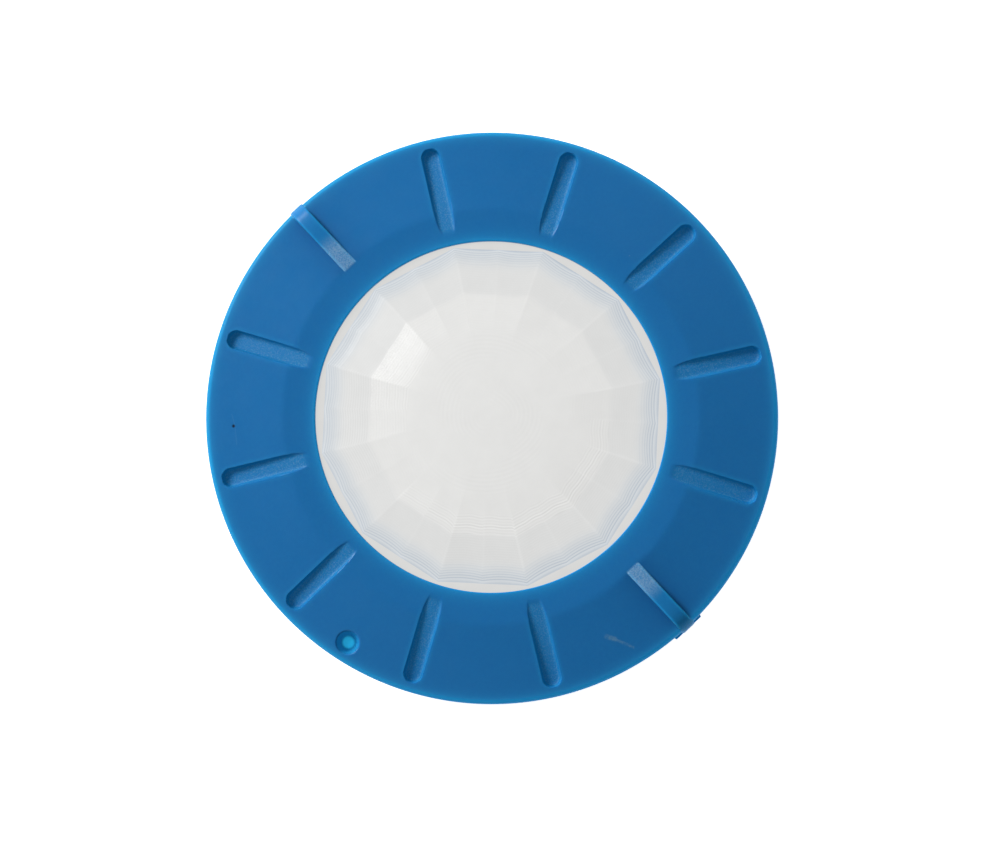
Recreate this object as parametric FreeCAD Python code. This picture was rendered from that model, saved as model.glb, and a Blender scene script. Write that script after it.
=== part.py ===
# Underwater wall light for a swimming pool, magnet-held and fed by an induction coil.
#
# The light lies on its back. Origin: centre of the rear face of the wall pad. +Z points from the
# wall towards the lens, +Y runs along one of the two raised grip ribs of the lens ring. Millimetres.
#
# A twelve-sided milky lens sits on a gasket in the housing and is held down by the lens ring, which
# carries ten finger grooves and two grip ribs. The ring's four inner lugs run under four helical
# ramps on the housing, so that the ring climbs as it is turned anticlockwise. Inside: LED board on
# an aluminium spreader, driver board, receiver coil with its ferrite, and a circle of magnets
# under a steel keeper. Each file in parts/ is one physical piece, or one group of identical ones.
import FreeCAD, Part
import math
import os
from FreeCAD import Vector as V

# ---------------------------------------------------------------- driving dimensions
# lens ring
RING_R = 100.0            # outer radius
OPEN_R = 61.25            # window radius
CREST_R = 72.5            # where the flat inner band turns into the outer cone
RING_TOP = 40.0           # height of the flat inner band
CONE_DEG = 6.5            # fall of the outer cone
CREST_BLEND = 20.0        # radius of the blend at the crest
RIM_FILLET = 2.0          # rounding between cone and skirt
PLATE_T = 2.6             # thickness of the front plate
SKIRT_T = 2.4
SKIRT_Z = 20.0            # lower edge of the skirt
COLLAR_R1, COLLAR_R2 = 80.4, 83.2
COLLAR_Z = 19.5
GROOVE_W = 6.5            # finger grooves
GROOVE_R0, GROOVE_R1 = 65.4, 96.3
GROOVE_DEG = 9.8         # slope of the groove floor
GROOVE_CORNER = 1.9      # rounding of the groove floor into its walls
RIB_W = 5.3               # raised grip ribs at +Y and -Y
RIB_R0 = 72.2
# (radius, height) along the top of a rib
RIB_TOP = [(72.2, 40.1), (79.0, 40.25), (85.0, 40.2), (91.0, 39.9), (95.2, 39.15), (97.6, 38.0), (99.4, 36.4), (100.5, 34.8), (100.9, 32.9)]
LUG_W = 12.0              # flat pads under the outer ends of the ribs
LUG_R = 100.85
LUG_TOP = 27.0
PEG_ANG, PEG_R = 194.5, 93.05      # hollow peg, seen from the front as a round recess
PEG_R1, PEG_R2, PEG_DEPTH = 4.1, 2.5, 5.2
WEB_T = 2.0               # stiffening webs behind the ring

# bayonet
LEAD = 24.0               # rise of the ring for a full turn
N_RAMP = 4
RAMP_SPAN = 60.0
RAMP_T = 3.0
RAMP_R = 79.8
RAMP_Z = 24.2             # underside of a ramp at its closed end
STOP_SPAN = 3.0
LUG_SPAN = 14.0
LUG_START = 0.8           # clearance between lug and stop when locked
LUG_T = 3.2
LUG_GAP = 0.2             # play between lug and ramp
LUG_IN_R = 76.4
RAMP_0 = 8.0              # angle of the first ramp's closed end

# lens
POLY_R = 60.3             # corner radius of the twelve-sided dome
CORNER_0 = -0.8           # one corner points nearly along +X, so that corners meet grooves and ribs
FLUTE = 0.45              # each half side of the dome's outside is hollowed by this much at its middle
STEP_R, STEP_Z = 60.9, 39.0
FLANGE_R, FLANGE_Z0, FLANGE_Z1 = 71.4, 33.8, 36.8
# (corner radius, height) of the dome's outer edges, then of its hollow
DOME_OUT = [(60.3, 39.0), (59.4, 42.0), (57.4, 44.4), (54.7, 45.7), (43.1, 49.6), (28.8, 56.0), (12.0, 59.2)]
DOME_TOP = 60.0
DOME_IN = [(57.5, 38.0), (56.6, 40.6), (54.9, 42.4), (52.6, 43.2), (42.0, 46.9), (28.0, 53.2), (11.5, 56.4)]
DOME_IN_TOP = 57.2

# housing and cover
BODY_R, BODY_RI = 76.0, 73.0
COVER_Z0, COVER_Z1 = 2.0, 6.5
COVER_FLOOR = 5.0
SEAT_Z0, SEAT_Z = 27.7, 31.7
SEAT_RI = 58.5
GASKET_R1, GASKET_R2 = 62.5, 69.5
RIM_Z = 35.4
KEY_W = 6.0
PAD_R = 62.0
SCREW_PCD_R = 69.3
N_COVER_SCREWS = 8

SPREADER_Z0, SPREADER_Z1 = 25.5, 27.5
PAD_T = 0.3               # thermal pad
LEDB_T = 1.6
DRV_Z0, DRV_Z1 = 14.4, 16.0
REFL_LEGS = [90.0, 210.0, 330.0]

os.makedirs("parts", exist_ok=True)
Z = V(0, 0, 1)
O = V(0, 0, 0)


# ---------------------------------------------------------------- helpers
def rot(shape, deg):
    s = shape.copy()
    s.rotate(O, Z, deg)
    return s


def cyl(r, z0, z1, x=0.0, y=0.0):
    return Part.makeCylinder(r, z1 - z0, V(x, y, z0), Z)


def ring(r1, r2, z0, z1, x=0.0, y=0.0):
    return cyl(r2, z0, z1, x, y).cut(cyl(r1, z0 - 1, z1 + 1, x, y))


def box(x0, x1, y0, y1, z0, z1):
    return Part.makeBox(x1 - x0, y1 - y0, z1 - z0, V(x0, y0, z0))


def polar(r, deg):
    return r * math.cos(math.radians(deg)), r * math.sin(math.radians(deg))


def revolve(points):
    """Closed polygon of (r, z) turned about Z."""
    vs = [V(r, 0, z) for r, z in points]
    return Part.Face(Part.makePolygon(vs + [vs[0]])).revolve(O, Z, 360)


def revolve_edges(edges):
    return Part.Face(Part.Wire(edges)).revolve(O, Z, 360)


def seg(a, b):
    return Part.LineSegment(V(a[0], 0, a[1]), V(b[0], 0, b[1])).toShape()


def arc(a, m, b):
    return Part.Arc(V(a[0], 0, a[1]), V(m[0], 0, m[1]), V(b[0], 0, b[1])).toShape()


def fuse(shapes):
    out = shapes[0]
    return out.multiFuse(shapes[1:]) if len(shapes) > 1 else out


def helical(r1, r2, z, t, a0, a1, lead, step=5.0):
    """A bar of rectangular section that climbs as it runs round Z from a0 to a1 degrees."""
    n = max(2, int(math.ceil((a1 - a0) / step)))
    wires = []
    for i in range(n + 1):
        a = a0 + (a1 - a0) * i / n
        zz = z + lead * (a - a0) / 360.0
        c, s = math.cos(math.radians(a)), math.sin(math.radians(a))
        q = [(r1, zz), (r2, zz), (r2, zz + t), (r1, zz + t)]
        vs = [V(r * c, r * s, h) for r, h in q]
        wires.append(Part.makePolygon(vs + [vs[0]]))
    return Part.makeLoft(wires, True, False)


def tube(points, radius, bend):
    """A wire: straight runs joined by tangent arcs, swept with a round section."""
    pts = [V(*p) for p in points]
    edges, start = [], pts[0]
    for i in range(1, len(pts) - 1):
        a, b, c = pts[i - 1], pts[i], pts[i + 1]
        u, w = (a - b).normalize(), (c - b).normalize()
        turn = math.pi - u.getAngle(w)
        t = bend * math.tan(turn / 2)
        p, q = b + u * t, b + w * t
        mid = (u + w).normalize()
        m = b + mid * (bend / math.cos(turn / 2) - bend)
        edges += [Part.LineSegment(start, p).toShape(), Part.Arc(p, m, q).toShape()]
        start = q
    edges.append(Part.LineSegment(start, pts[-1]).toShape())
    path = Part.Wire(edges)
    d = pts[1] - pts[0]
    prof = Part.Wire(Part.makeCircle(radius, pts[0], d))
    return path.makePipeShell([prof], True, True)


def screw(x, y, seat_z, up, head_r, head_h, shank_r, length, socket_r, fillet=0.4):
    """Pan-head screw. seat_z is where the head bears; the shank runs up (+Z) or down."""
    s = 1 if up else -1
    head = Part.makeCylinder(head_r, head_h, V(x, y, seat_z), V(0, 0, -s))
    far = [e for e in head.Edges if abs(e.BoundBox.ZMin - (seat_z - s * head_h)) < 1e-6 and e.BoundBox.ZLength < 1e-6]
    head = head.makeFillet(fillet, far)
    hexa = Part.makePolygon([V(x + socket_r * math.cos(math.radians(60 * i)), y + socket_r * math.sin(math.radians(60 * i)), seat_z - s * (head_h + 0.1)) for i in range(7)])
    head = head.cut(Part.Face(hexa).extrude(V(0, 0, s * (head_h * 0.55 + 0.1))))
    tip = 0.5 * shank_r
    shank = Part.makeCylinder(shank_r, length - tip, V(x, y, seat_z), V(0, 0, s))
    cone = Part.makeCone(shank_r, shank_r * 0.5, tip, V(x, y, seat_z + s * (length - tip)), V(0, 0, s))
    return head.fuse(shank).fuse(cone).removeSplitter()


PARTS = {}


def keep(name, shape):
    """Writes a node and prints what it holds."""
    solids = shape.Solids
    out = solids[0] if len(solids) == 1 else Part.makeCompound(solids)
    ok = all(s.isValid() and s.isClosed() and s.Volume > 0 for s in solids)
    out.exportStep("parts/%s.step" % name)
    PARTS[name] = out
    b = out.BoundBox
    print("%-20s solids %2d  volume %10.1f  z %6.2f to %6.2f  %s" % (name, len(solids), out.Volume, b.ZMin, b.ZMax, "ok" if ok else "BAD"))


# ---------------------------------------------------------------- lens ring
TAN = math.tan(math.radians(CONE_DEG))
SIN, COS = math.sin(math.radians(CONE_DEG)), math.cos(math.radians(CONE_DEG))


def cone_z(r):
    return RING_TOP - (r - CREST_R) * TAN


def floor_z(r):
    return RING_TOP - (r - GROOVE_R0) * math.tan(math.radians(GROOVE_DEG))


# section of the ring, from the lower inner corner of the window, over the top, down the skirt and back
half = CREST_BLEND * math.tan(math.radians(CONE_DEG / 2))
c0 = (CREST_R - half, RING_TOP)
c1 = (CREST_R + half * COS, RING_TOP - half * SIN)
cc = (CREST_R - half, RING_TOP - CREST_BLEND)
ha = math.radians(CONE_DEG / 2)
cm = (cc[0] + CREST_BLEND * math.sin(ha), cc[1] + CREST_BLEND * math.cos(ha))
fr = RING_R - RIM_FILLET
ft = (fr + RIM_FILLET * SIN, cone_z(fr + RIM_FILLET * SIN))
fcz = ft[1] - RIM_FILLET * COS
fa = math.radians((90 - CONE_DEG) / 2)
fm = (fr + RIM_FILLET * math.cos(fa), fcz + RIM_FILLET * math.sin(fa))
lip = 0.4
under = RING_TOP - PLATE_T
ux = CREST_R + (PLATE_T / COS - PLATE_T) / TAN
ri = RING_R - SKIRT_T


def under_z(r):
    return cone_z(r) - PLATE_T / COS


s45 = math.sqrt(0.5)
outline = [
    seg((OPEN_R, under), (OPEN_R, RING_TOP - lip)),
    arc((OPEN_R, RING_TOP - lip), (OPEN_R + lip * (1 - s45), RING_TOP - lip * (1 - s45)), (OPEN_R + lip, RING_TOP)),
    seg((OPEN_R + lip, RING_TOP), c0),
    arc(c0, cm, c1),
    seg(c1, ft),
    arc(ft, fm, (RING_R, fcz)),
    seg((RING_R, fcz), (RING_R, SKIRT_Z + 0.6)),
    arc((RING_R, SKIRT_Z + 0.6), (RING_R - 0.6 * (1 - s45), SKIRT_Z + 0.6 * (1 - s45)), (RING_R - 0.6, SKIRT_Z)),
    seg((RING_R - 0.6, SKIRT_Z), (ri, SKIRT_Z)),
    seg((ri, SKIRT_Z), (ri, under_z(ri))),
    seg((ri, under_z(ri)), (COLLAR_R2, under_z(COLLAR_R2))),
    seg((COLLAR_R2, under_z(COLLAR_R2)), (COLLAR_R2, COLLAR_Z)),
    seg((COLLAR_R2, COLLAR_Z), (COLLAR_R1, COLLAR_Z)),
    seg((COLLAR_R1, COLLAR_Z), (COLLAR_R1, under_z(COLLAR_R1))),
    seg((COLLAR_R1, under_z(COLLAR_R1)), (ux, under)),
    seg((ux, under), (OPEN_R, under)),
]
body = revolve_edges(outline)

# the room behind the plate between collar and skirt, where webs and groove backs may go
behind = revolve([(74.6, 30.0), (ri + 0.6, 24.0), (ri + 0.6, cone_z(ri + 0.6) - 1.0), (74.6, cone_z(74.6) - 1.0)])
web_room = revolve([(COLLAR_R2 - 0.6, 24.5), (ri + 0.6, 24.5), (ri + 0.6, cone_z(ri + 0.6) - 1.0), (COLLAR_R2 - 0.6, cone_z(COLLAR_R2) - 1.0)])


def trough(width, extra, drop, corner):
    """Finger-groove cutter or its thicker back: a stadium bar whose underside is the groove floor."""
    r = width / 2
    x0, x1 = 55.0, GROOVE_R1 - GROOVE_W / 2
    h = 14.0
    e = [
        Part.LineSegment(V(x0, -r, 0), V(x1, -r, 0)).toShape(),
        Part.Arc(V(x1, -r, 0), V(x1 + r, 0, 0), V(x1, r, 0)).toShape(),
        Part.LineSegment(V(x1, r, 0), V(x0, r, 0)).toShape(),
        Part.LineSegment(V(x0, r, 0), V(x0, -r, 0)).toShape(),
    ]
    bar = Part.Face(Part.Wire(e)).extrude(V(0, 0, h))
    low = [d for d in bar.Edges if d.BoundBox.ZMax < 1e-6 and d.BoundBox.XMax > x0 + 1]
    bar = bar.makeFillet(corner, low)
    bar.translate(V(-GROOVE_R0, 0, -drop))
    bar.rotate(O, V(0, 1, 0), GROOVE_DEG)
    bar.translate(V(GROOVE_R0, 0, RING_TOP))
    return bar


cutter = trough(GROOVE_W, 0, 0.0, GROOVE_CORNER)
back = trough(GROOVE_W + 4.0, 0, 1.9, 3.6).common(behind)

adds, cuts = [], []
for k in range(12):
    a = 30.0 * k
    if k not in (3, 9):
        adds.append(rot(back, a))
        cuts.append(rot(cutter, a))
    w = box(COLLAR_R2 - 0.5, ri + 0.5, -WEB_T / 2, WEB_T / 2, 24.5, 40.0).common(web_room)
    adds.append(rot(w, a + 15.0))

# grip rib: level along most of its length, rounded down over the rim
top = Part.BSplineCurve()
top.interpolate([V(x, 0, z) for x, z in RIB_TOP])
x_end, z_end = RIB_TOP[-1]
rib_edges = [
    seg((RIB_R0, 37.6), RIB_TOP[0]),
    top.toShape(),
    seg((x_end, z_end), (x_end, LUG_TOP - 1.5)),
    seg((x_end, LUG_TOP - 1.5), (98.2, LUG_TOP - 1.5)),
    seg((98.2, LUG_TOP - 1.5), (98.2, 35.0)),
    seg((98.2, 35.0), (RIB_R0, 37.6)),
]
rib = Part.Face(Part.Wire(rib_edges)).extrude(V(0, RIB_W, 0))
rib.translate(V(0, -RIB_W / 2, 0))
long_edges = [e for e in rib.Edges if e.BoundBox.YLength < 1e-6 and e.BoundBox.XLength > 25 and e.BoundBox.ZMax > 39]
rib = rib.makeFillet(0.45, long_edges)
pad = box(98.0, LUG_R, -LUG_W / 2, LUG_W / 2, SKIRT_Z, LUG_TOP)
pad = pad.makeFillet(0.5, [e for e in pad.Edges if e.BoundBox.XMin > LUG_R - 1e-6 and e.BoundBox.ZMin > SKIRT_Z + 0.1])
adds += [rot(rib, 90), rot(rib, 270), rot(pad, 90), rot(pad, 270)]

# bayonet lugs on the collar's inner wall
for k in range(N_RAMP):
    a0 = RAMP_0 + 360.0 / N_RAMP * k + LUG_START
    z = RAMP_Z + LEAD * LUG_START / 360.0 - LUG_GAP - LUG_T
    adds.append(helical(LUG_IN_R, COLLAR_R1 + 0.8, z, LUG_T, a0, a0 + LUG_SPAN, LEAD, 3.5))

# hollow peg behind the front plate
px, py = polar(PEG_R, PEG_ANG)
ptop = cone_z(PEG_R)
peg = Part.makeCone(PEG_R2 + 1.6, PEG_R1 + 1.6, PEG_DEPTH, V(px, py, ptop - PEG_DEPTH - 1.1), Z)
peg = peg.common(revolve([(60, 10), (RING_R - 1.0, 10), (RING_R - 1.0, cone_z(RING_R - 1) - 0.8), (60, cone_z(60) - 0.8)]))
adds.append(peg)
hole = Part.makeCone(PEG_R2, PEG_R1, PEG_DEPTH, V(px, py, ptop - PEG_DEPTH), Z)
cuts += [hole, Part.makeCylinder(PEG_R1, 4, V(px, py, ptop), Z)]

lens_ring = body.multiFuse(adds).cut(Part.makeCompound(cuts)).removeSplitter()
keep("lens_ring", lens_ring)

# ---------------------------------------------------------------- lens


def dome(rings, top, base_z, flute):
    """Closed solid with 48 flat panels between one level and the next, and a blunt point on top.
    A level is a twelve-sided polygon whose half sides are hollowed, so that each half is a shallow flute."""
    def level(r, z):
        out = []
        for i in range(48):
            from_mid = (i % 4 - 2) * 7.5
            rr = r * math.cos(math.radians(15)) / math.cos(math.radians(from_mid))
            if i % 2:
                rr -= flute * r / rings[0][0]
            x, y = polar(rr, CORNER_0 + 7.5 * i)
            out.append(V(x, y, z))
        return out

    levels = [level(rings[0][0], base_z)] + [level(r, z) for r, z in rings]
    faces = []

    def flat(*vs):
        faces.append(Part.Face(Part.makePolygon(list(vs) + [vs[0]])))

    flat(*levels[0])
    for lo, hi in zip(levels, levels[1:]):
        for i in range(48):
            j = (i + 1) % 48
            k = (lo[i] - hi[j]).Length <= (lo[j] - hi[i]).Length
            for tri in (((lo[i], lo[j], hi[j]), (lo[i], hi[j], hi[i])) if k else ((lo[i], lo[j], hi[i]), (lo[j], hi[j], hi[i]))):
                flat(*tri)
    tip = V(0, 0, top)
    last = levels[-1]
    for i in range(48):
        flat(last[i], last[(i + 1) % 48], tip)
    solid = Part.Solid(Part.Shell(faces))
    if solid.Volume < 0:
        solid.reverse()
    return solid


lens_out = dome(DOME_OUT, DOME_TOP, STEP_Z - 0.6, FLUTE)
lens_in = dome(DOME_IN, DOME_IN_TOP, FLANGE_Z0 - 1.0, 0.0)
flange = cyl(FLANGE_R, FLANGE_Z0, FLANGE_Z1)
flange = flange.makeFillet(0.4, [e for e in flange.Edges if e.BoundBox.ZLength < 1e-6])
lens = flange.fuse(cyl(STEP_R, FLANGE_Z1 - 0.5, STEP_Z)).fuse(lens_out).cut(lens_in)
notch = box(FLANGE_R - 1.8, FLANGE_R + 1, -KEY_W / 2 - 0.3, KEY_W / 2 + 0.3, FLANGE_Z0 - 1, FLANGE_Z1 + 1)
lens = lens.cut(notch).cut(rot(notch, 180)).removeSplitter()
keep("lens", lens)
keep("slip_washer", ring(63.0, 70.6, FLANGE_Z1, FLANGE_Z1 + 0.5))
gasket = ring(GASKET_R1 + 0.2, GASKET_R2 - 0.2, SEAT_Z, FLANGE_Z0 - 0.05)
gasket = gasket.makeFillet(0.5, [e for e in gasket.Edges if e.BoundBox.ZLength < 1e-6 and e.BoundBox.ZMin > SEAT_Z + 1])
keep("lens_gasket", gasket)

# ---------------------------------------------------------------- housing
hs = revolve([
    (60.0, COVER_Z1), (BODY_R - 0.8, COVER_Z1), (BODY_R, COVER_Z1 + 0.8), (BODY_R, RIM_Z - 0.5), (BODY_R - 0.5, RIM_Z), (72.0, RIM_Z),
    (72.0, SEAT_Z + 1.4), (GASKET_R2, SEAT_Z + 1.4), (GASKET_R2, SEAT_Z), (GASKET_R1, SEAT_Z), (GASKET_R1, SEAT_Z + 1.4), (SEAT_RI + 0.4, SEAT_Z + 1.4), (SEAT_RI, SEAT_Z + 1.0),
    (SEAT_RI, SEAT_Z0), (BODY_RI, SEAT_Z0), (BODY_RI, 11.0), (60.0, 11.0),
])
h_add = []
for k in range(N_COVER_SCREWS):
    x, y = polar(SCREW_PCD_R, 22.5 + 45 * k)
    boss = cyl(4.0, 10.5, 18.0, x, y).common(cyl(BODY_RI + 1.5, 5, 30))
    h_add.append(boss)
for k in range(N_RAMP):
    a0 = RAMP_0 + 360.0 / N_RAMP * k
    h_add.append(helical(BODY_R - 0.8, RAMP_R, RAMP_Z, RAMP_T, a0, a0 + RAMP_SPAN, LEAD))
    h_add.append(Part.makeCylinder(RAMP_R, RAMP_T + 4.4, V(0, 0, RAMP_Z - 4.4), Z, STOP_SPAN).cut(cyl(BODY_R - 0.8, 10, 40)))
    h_add[-1].rotate(O, Z, a0 - STOP_SPAN)
key = box(FLANGE_R - 1.5, 72.8, -KEY_W / 2, KEY_W / 2, SEAT_Z + 1.0, RIM_Z - 0.3)
h_add += [key, rot(key, 180)]
# spreader bosses under the lens seat
for k in range(6):
    x, y = polar(62.2, 60 * k)
    h_add.append(cyl(4.2, SPREADER_Z1, SEAT_Z0 + 1, x, y))
housing = hs.multiFuse(h_add)
h_cut = [ring(61.7, 64.3, COVER_Z1 - 1, COVER_Z1 + 2.2)]
for k in range(N_COVER_SCREWS):
    x, y = polar(SCREW_PCD_R, 22.5 + 45 * k)
    h_cut.append(cyl(1.65, COVER_Z1 - 1, 17.0, x, y))
for k in range(6):
    x, y = polar(62.2, 60 * k)
    h_cut.append(cyl(1.3, SPREADER_Z1 - 1, 31.2, x, y))
# grip flutes round the lower wall
for k in range(36):
    x, y = polar(BODY_R + 1.6, 5 + 10 * k)
    h_cut.append(cyl(2.2, 9.0, 17.5, x, y))
housing = housing.cut(Part.makeCompound(h_cut)).removeSplitter()
keep("housing", housing)

# ---------------------------------------------------------------- rear cover, its seal and screws
cover = revolve([
    (0, COVER_Z0), (BODY_R - 1.2, COVER_Z0), (BODY_R - 0.4, COVER_Z0 + 0.8), (BODY_R - 0.4, COVER_Z1 - 0.01), (59.0, COVER_Z1 - 0.01), (59.0, COVER_FLOOR), (0, COVER_FLOOR),
])
lipring = ring(58.3, 59.7, COVER_FLOOR - 0.5, 7.8)
posts = [cyl(3.4, COVER_FLOOR - 0.5, 8.5, *polar(51.5, 22.5 + 90 * k)) for k in range(4)]
c_cut = []
for k in range(N_COVER_SCREWS):
    x, y = polar(SCREW_PCD_R, 22.5 + 45 * k)
    c_cut += [cyl(3.6, COVER_Z0 - 1, COVER_Z0 + 2.6, x, y), cyl(1.95, COVER_Z0, COVER_Z1 + 1, x, y)]
MAG_ANG = [0, 45, 90, 135, 180, 225, 270, 315]
for a in MAG_ANG:
    x, y = polar(51.5, a)
    c_cut.append(cyl(6.6, 3.5, COVER_FLOOR + 1, x, y))
for k in range(4):
    c_cut.append(cyl(1.05, 3.4, 9.5, *polar(51.5, 22.5 + 90 * k)))
cover = cover.multiFuse([lipring] + posts).cut(Part.makeCompound(c_cut)).removeSplitter()
keep("rear_cover", cover)
keep("cover_seal", Part.makeTorus(63.0, 1.06, V(0, 0, COVER_Z1 + 1.08), Z))
keep("cover_screws", Part.makeCompound([screw(*polar(SCREW_PCD_R, 22.5 + 45 * k), COVER_Z0 + 2.6, True, 3.2, 2.2, 1.6, 11.5, 1.4) for k in range(N_COVER_SCREWS)]))
pad_disc = cyl(PAD_R, 0.0, COVER_Z0)
pad_disc = pad_disc.makeFillet(0.6, [e for e in pad_disc.Edges if e.BoundBox.ZMax < 1e-6])
keep("wall_pad", pad_disc)

# ---------------------------------------------------------------- magnets, keeper, coil
keep("magnets", Part.makeCompound([cyl(6.5, 3.5, 8.5, *polar(51.5, a)) for a in MAG_ANG]))
keeper = ring(44.0, 58.0, 8.5, 9.7)
for k in range(4):
    keeper = keeper.cut(cyl(1.5, 8, 10, *polar(51.5, 22.5 + 90 * k)))
keep("magnet_keeper", keeper)
keep("keeper_screws", Part.makeCompound([screw(*polar(51.5, 22.5 + 90 * k), 9.7, False, 2.3, 1.5, 1.0, 5.5, 0.9, 0.3) for k in range(4)]))
former = revolve([(20.0, 5.0), (41.5, 5.0), (41.5, 9.3), (40.3, 9.3), (40.3, 5.8), (21.2, 5.8), (21.2, 9.3), (20.0, 9.3)])
former = former.cut(box(39.5, 43, -2.0, 2.0, 7.2, 10))
keep("coil_former", former)
# the winding: three neat layers of round turns, drawn as stepped rings
turns = []
for layer in range(3):
    for i in range(9):
        turns.append(ring(21.3 + 2.08 * i, 21.3 + 2.08 * i + 2.0, 5.8 + 1.08 * layer, 5.8 + 1.08 * layer + 1.0))
core = ring(21.5, 39.9, 5.9, 8.9)
winding = core.multiFuse(turns).removeSplitter()
keep("receiver_coil", winding)
keep("ferrite_disc", ring(20.2, 41.3, 9.3, 10.9))

# ---------------------------------------------------------------- heat spreader and LED board
spreader = cyl(66.6, SPREADER_Z0, SPREADER_Z1)
sp_cut = []
for k in range(6):
    sp_cut.append(cyl(1.7, 20, 30, *polar(62.2, 60 * k)))
for k in range(4):
    sp_cut.append(cyl(1.6, 20, 30, *polar(34.0, 45 + 90 * k)))
for a in REFL_LEGS:
    sp_cut.append(cyl(1.55, 20, 30, *polar(38.0, a)))
sp_cut.append(cyl(3.0, 20, 30, 0.0, -46.5))
spreader = spreader.cut(Part.makeCompound(sp_cut))
keep("heat_spreader", spreader)
keep("spreader_screws", Part.makeCompound([screw(*polar(62.2, 60 * k), SPREADER_Z0, True, 2.7, 1.9, 1.25, 5.4, 1.1, 0.3) for k in range(6)]))
tp = cyl(42.0, SPREADER_Z1, SPREADER_Z1 + PAD_T)
for a in REFL_LEGS:
    tp = tp.cut(cyl(1.8, 20, 30, *polar(38.0, a)))
keep("thermal_pad", tp)
LB0 = SPREADER_Z1 + PAD_T
LB1 = LB0 + LEDB_T
lb = cyl(43.0, LB0, LB1)
for a in REFL_LEGS:
    lb = lb.cut(cyl(1.7, 20, 32, *polar(38.0, a)))
lb = lb.cut(box(-3.0, 3.0, -44, -40.2, 20, 32))
keep("led_board", lb)
LED_POS = [polar(12.0, 60 * i) for i in range(6)] + [polar(26.0, 15 + 30 * i) for i in range(12)]
leds = []
for x, y in LED_POS:
    d = math.degrees(math.atan2(y, x))
    b1 = box(-1.75, 1.75, -1.75, 1.75, 0, 0.7)
    dm = Part.makeSphere(1.45, V(0, 0, 0.55), Z, 0, 90, 360)
    p = b1.fuse(dm)
    p.rotate(O, Z, d)
    p.translate(V(x, y, LB1))
    leds.append(p.removeSplitter())
keep("led_chips", Part.makeCompound(leds))

# reflector: a white dish with a window for each LED, standing on three legs
RF0 = LB1 + 1.6
rf = revolve([(0, RF0), (44.0, RF0), (53.6, RF0 + 3.9), (53.6, RF0 + 5.1), (52.6, RF0 + 5.1), (43.4, RF0 + 1.2), (0, RF0 + 1.2)])
rf = rf.multiFuse([cyl(2.9, LB1, RF0 + 0.5, *polar(38.0, a)) for a in REFL_LEGS])
rc = [cyl(1.6, 20, 40, *polar(38.0, a)) for a in REFL_LEGS]
for x, y in LED_POS:
    rc.append(Part.makeCone(2.9, 3.9, 1.4, V(x, y, RF0 - 0.1), Z))
rf = rf.cut(Part.makeCompound(rc)).removeSplitter()
keep("reflector", rf)
keep("reflector_screws", Part.makeCompound([screw(*polar(38.0, a), RF0 + 1.2, False, 2.7, 1.8, 1.5, 6.6, 1.1, 0.3) for a in REFL_LEGS]))

# ---------------------------------------------------------------- driver board
db = cyl(40.0, DRV_Z0, DRV_Z1)
db = db.cut(box(-40, 40, 33.0, 45, 10, 20))
dc = [cyl(1.6, 10, 20, *polar(34.0, 45 + 90 * k)) for k in range(4)]
dc += [cyl(0.55, 10, 20, 34.0, -3.0), cyl(0.55, 10, 20, 34.0, 3.0), cyl(0.55, 10, 20, -2.0, -37.0), cyl(0.55, 10, 20, 2.0, -37.0)]
db = db.cut(Part.makeCompound(dc))
keep("driver_board", db)


def can(x, y, r, h):
    c = cyl(r, DRV_Z1, DRV_Z1 + h, x, y)
    c = c.makeFillet(0.5, [e for e in c.Edges if e.BoundBox.ZLength < 1e-6 and e.BoundBox.ZMin > DRV_Z1 + 1])
    g = ring(r - 0.25, r + 1, DRV_Z1 + h - 1.9, DRV_Z1 + h - 1.2, x, y)
    return c.cut(g)


keep("driver_capacitors", Part.makeCompound([can(-14, 12, 4.0, 8.4), can(-4.5, 12, 4.0, 8.4), can(-14, 2.5, 3.15, 7.0)]))
ind = cyl(6.0, DRV_Z1, DRV_Z1 + 1.4, 12, 8).fuse(cyl(4.2, DRV_Z1, DRV_Z1 + 7.0, 12, 8)).fuse(cyl(6.0, DRV_Z1 + 5.6, DRV_Z1 + 7.0, 12, 8)).fuse(cyl(5.5, DRV_Z1 + 1.0, DRV_Z1 + 6.0, 12, 8))
keep("driver_inductor", ind.removeSplitter())


def chip(x, y, a, b, h):
    s = box(x - a / 2, x + a / 2, y - b / 2, y + b / 2, DRV_Z1, DRV_Z1 + h)
    return s.makeFillet(0.2, [e for e in s.Edges if e.BoundBox.ZMin > DRV_Z1 + h - 1e-6])


chips = [chip(10, -10, 6.0, 5.0, 1.7), chip(-2, -8, 4.0, 4.6, 1.2), chip(-12, -14, 6.6, 6.2, 2.3), chip(-22, -8, 3.2, 1.6, 0.9), chip(-22, -3, 3.2, 1.6, 0.9), chip(2, -18, 3.2, 1.6, 0.9), chip(20, -4, 2.0, 4.6, 2.0), chip(24, 8, 3.2, 1.6, 0.9), chip(2, 24, 5.0, 4.0, 1.5)]
keep("driver_chips", Part.makeCompound(chips))
sps = []
for k in range(4):
    x, y = polar(34.0, 45 + 90 * k)
    hexa = Part.makePolygon([V(x + 2.9 * math.cos(math.radians(60 * i)), y + 2.9 * math.sin(math.radians(60 * i)), DRV_Z1) for i in range(7)])
    s = Part.Face(hexa).extrude(V(0, 0, SPREADER_Z0 - DRV_Z1)).fuse(cyl(1.58, SPREADER_Z0 - 0.5, SPREADER_Z1 - 0.1, x, y))
    s = s.cut(cyl(1.3, DRV_Z1 - 1, DRV_Z1 + 7.5, x, y))
    sps.append(s.removeSplitter())
keep("board_spacers", Part.makeCompound(sps))
keep("driver_screws", Part.makeCompound([screw(*polar(34.0, 45 + 90 * k), DRV_Z0, True, 2.5, 1.7, 1.25, 7.5, 1.0, 0.3) for k in range(4)]))

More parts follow.
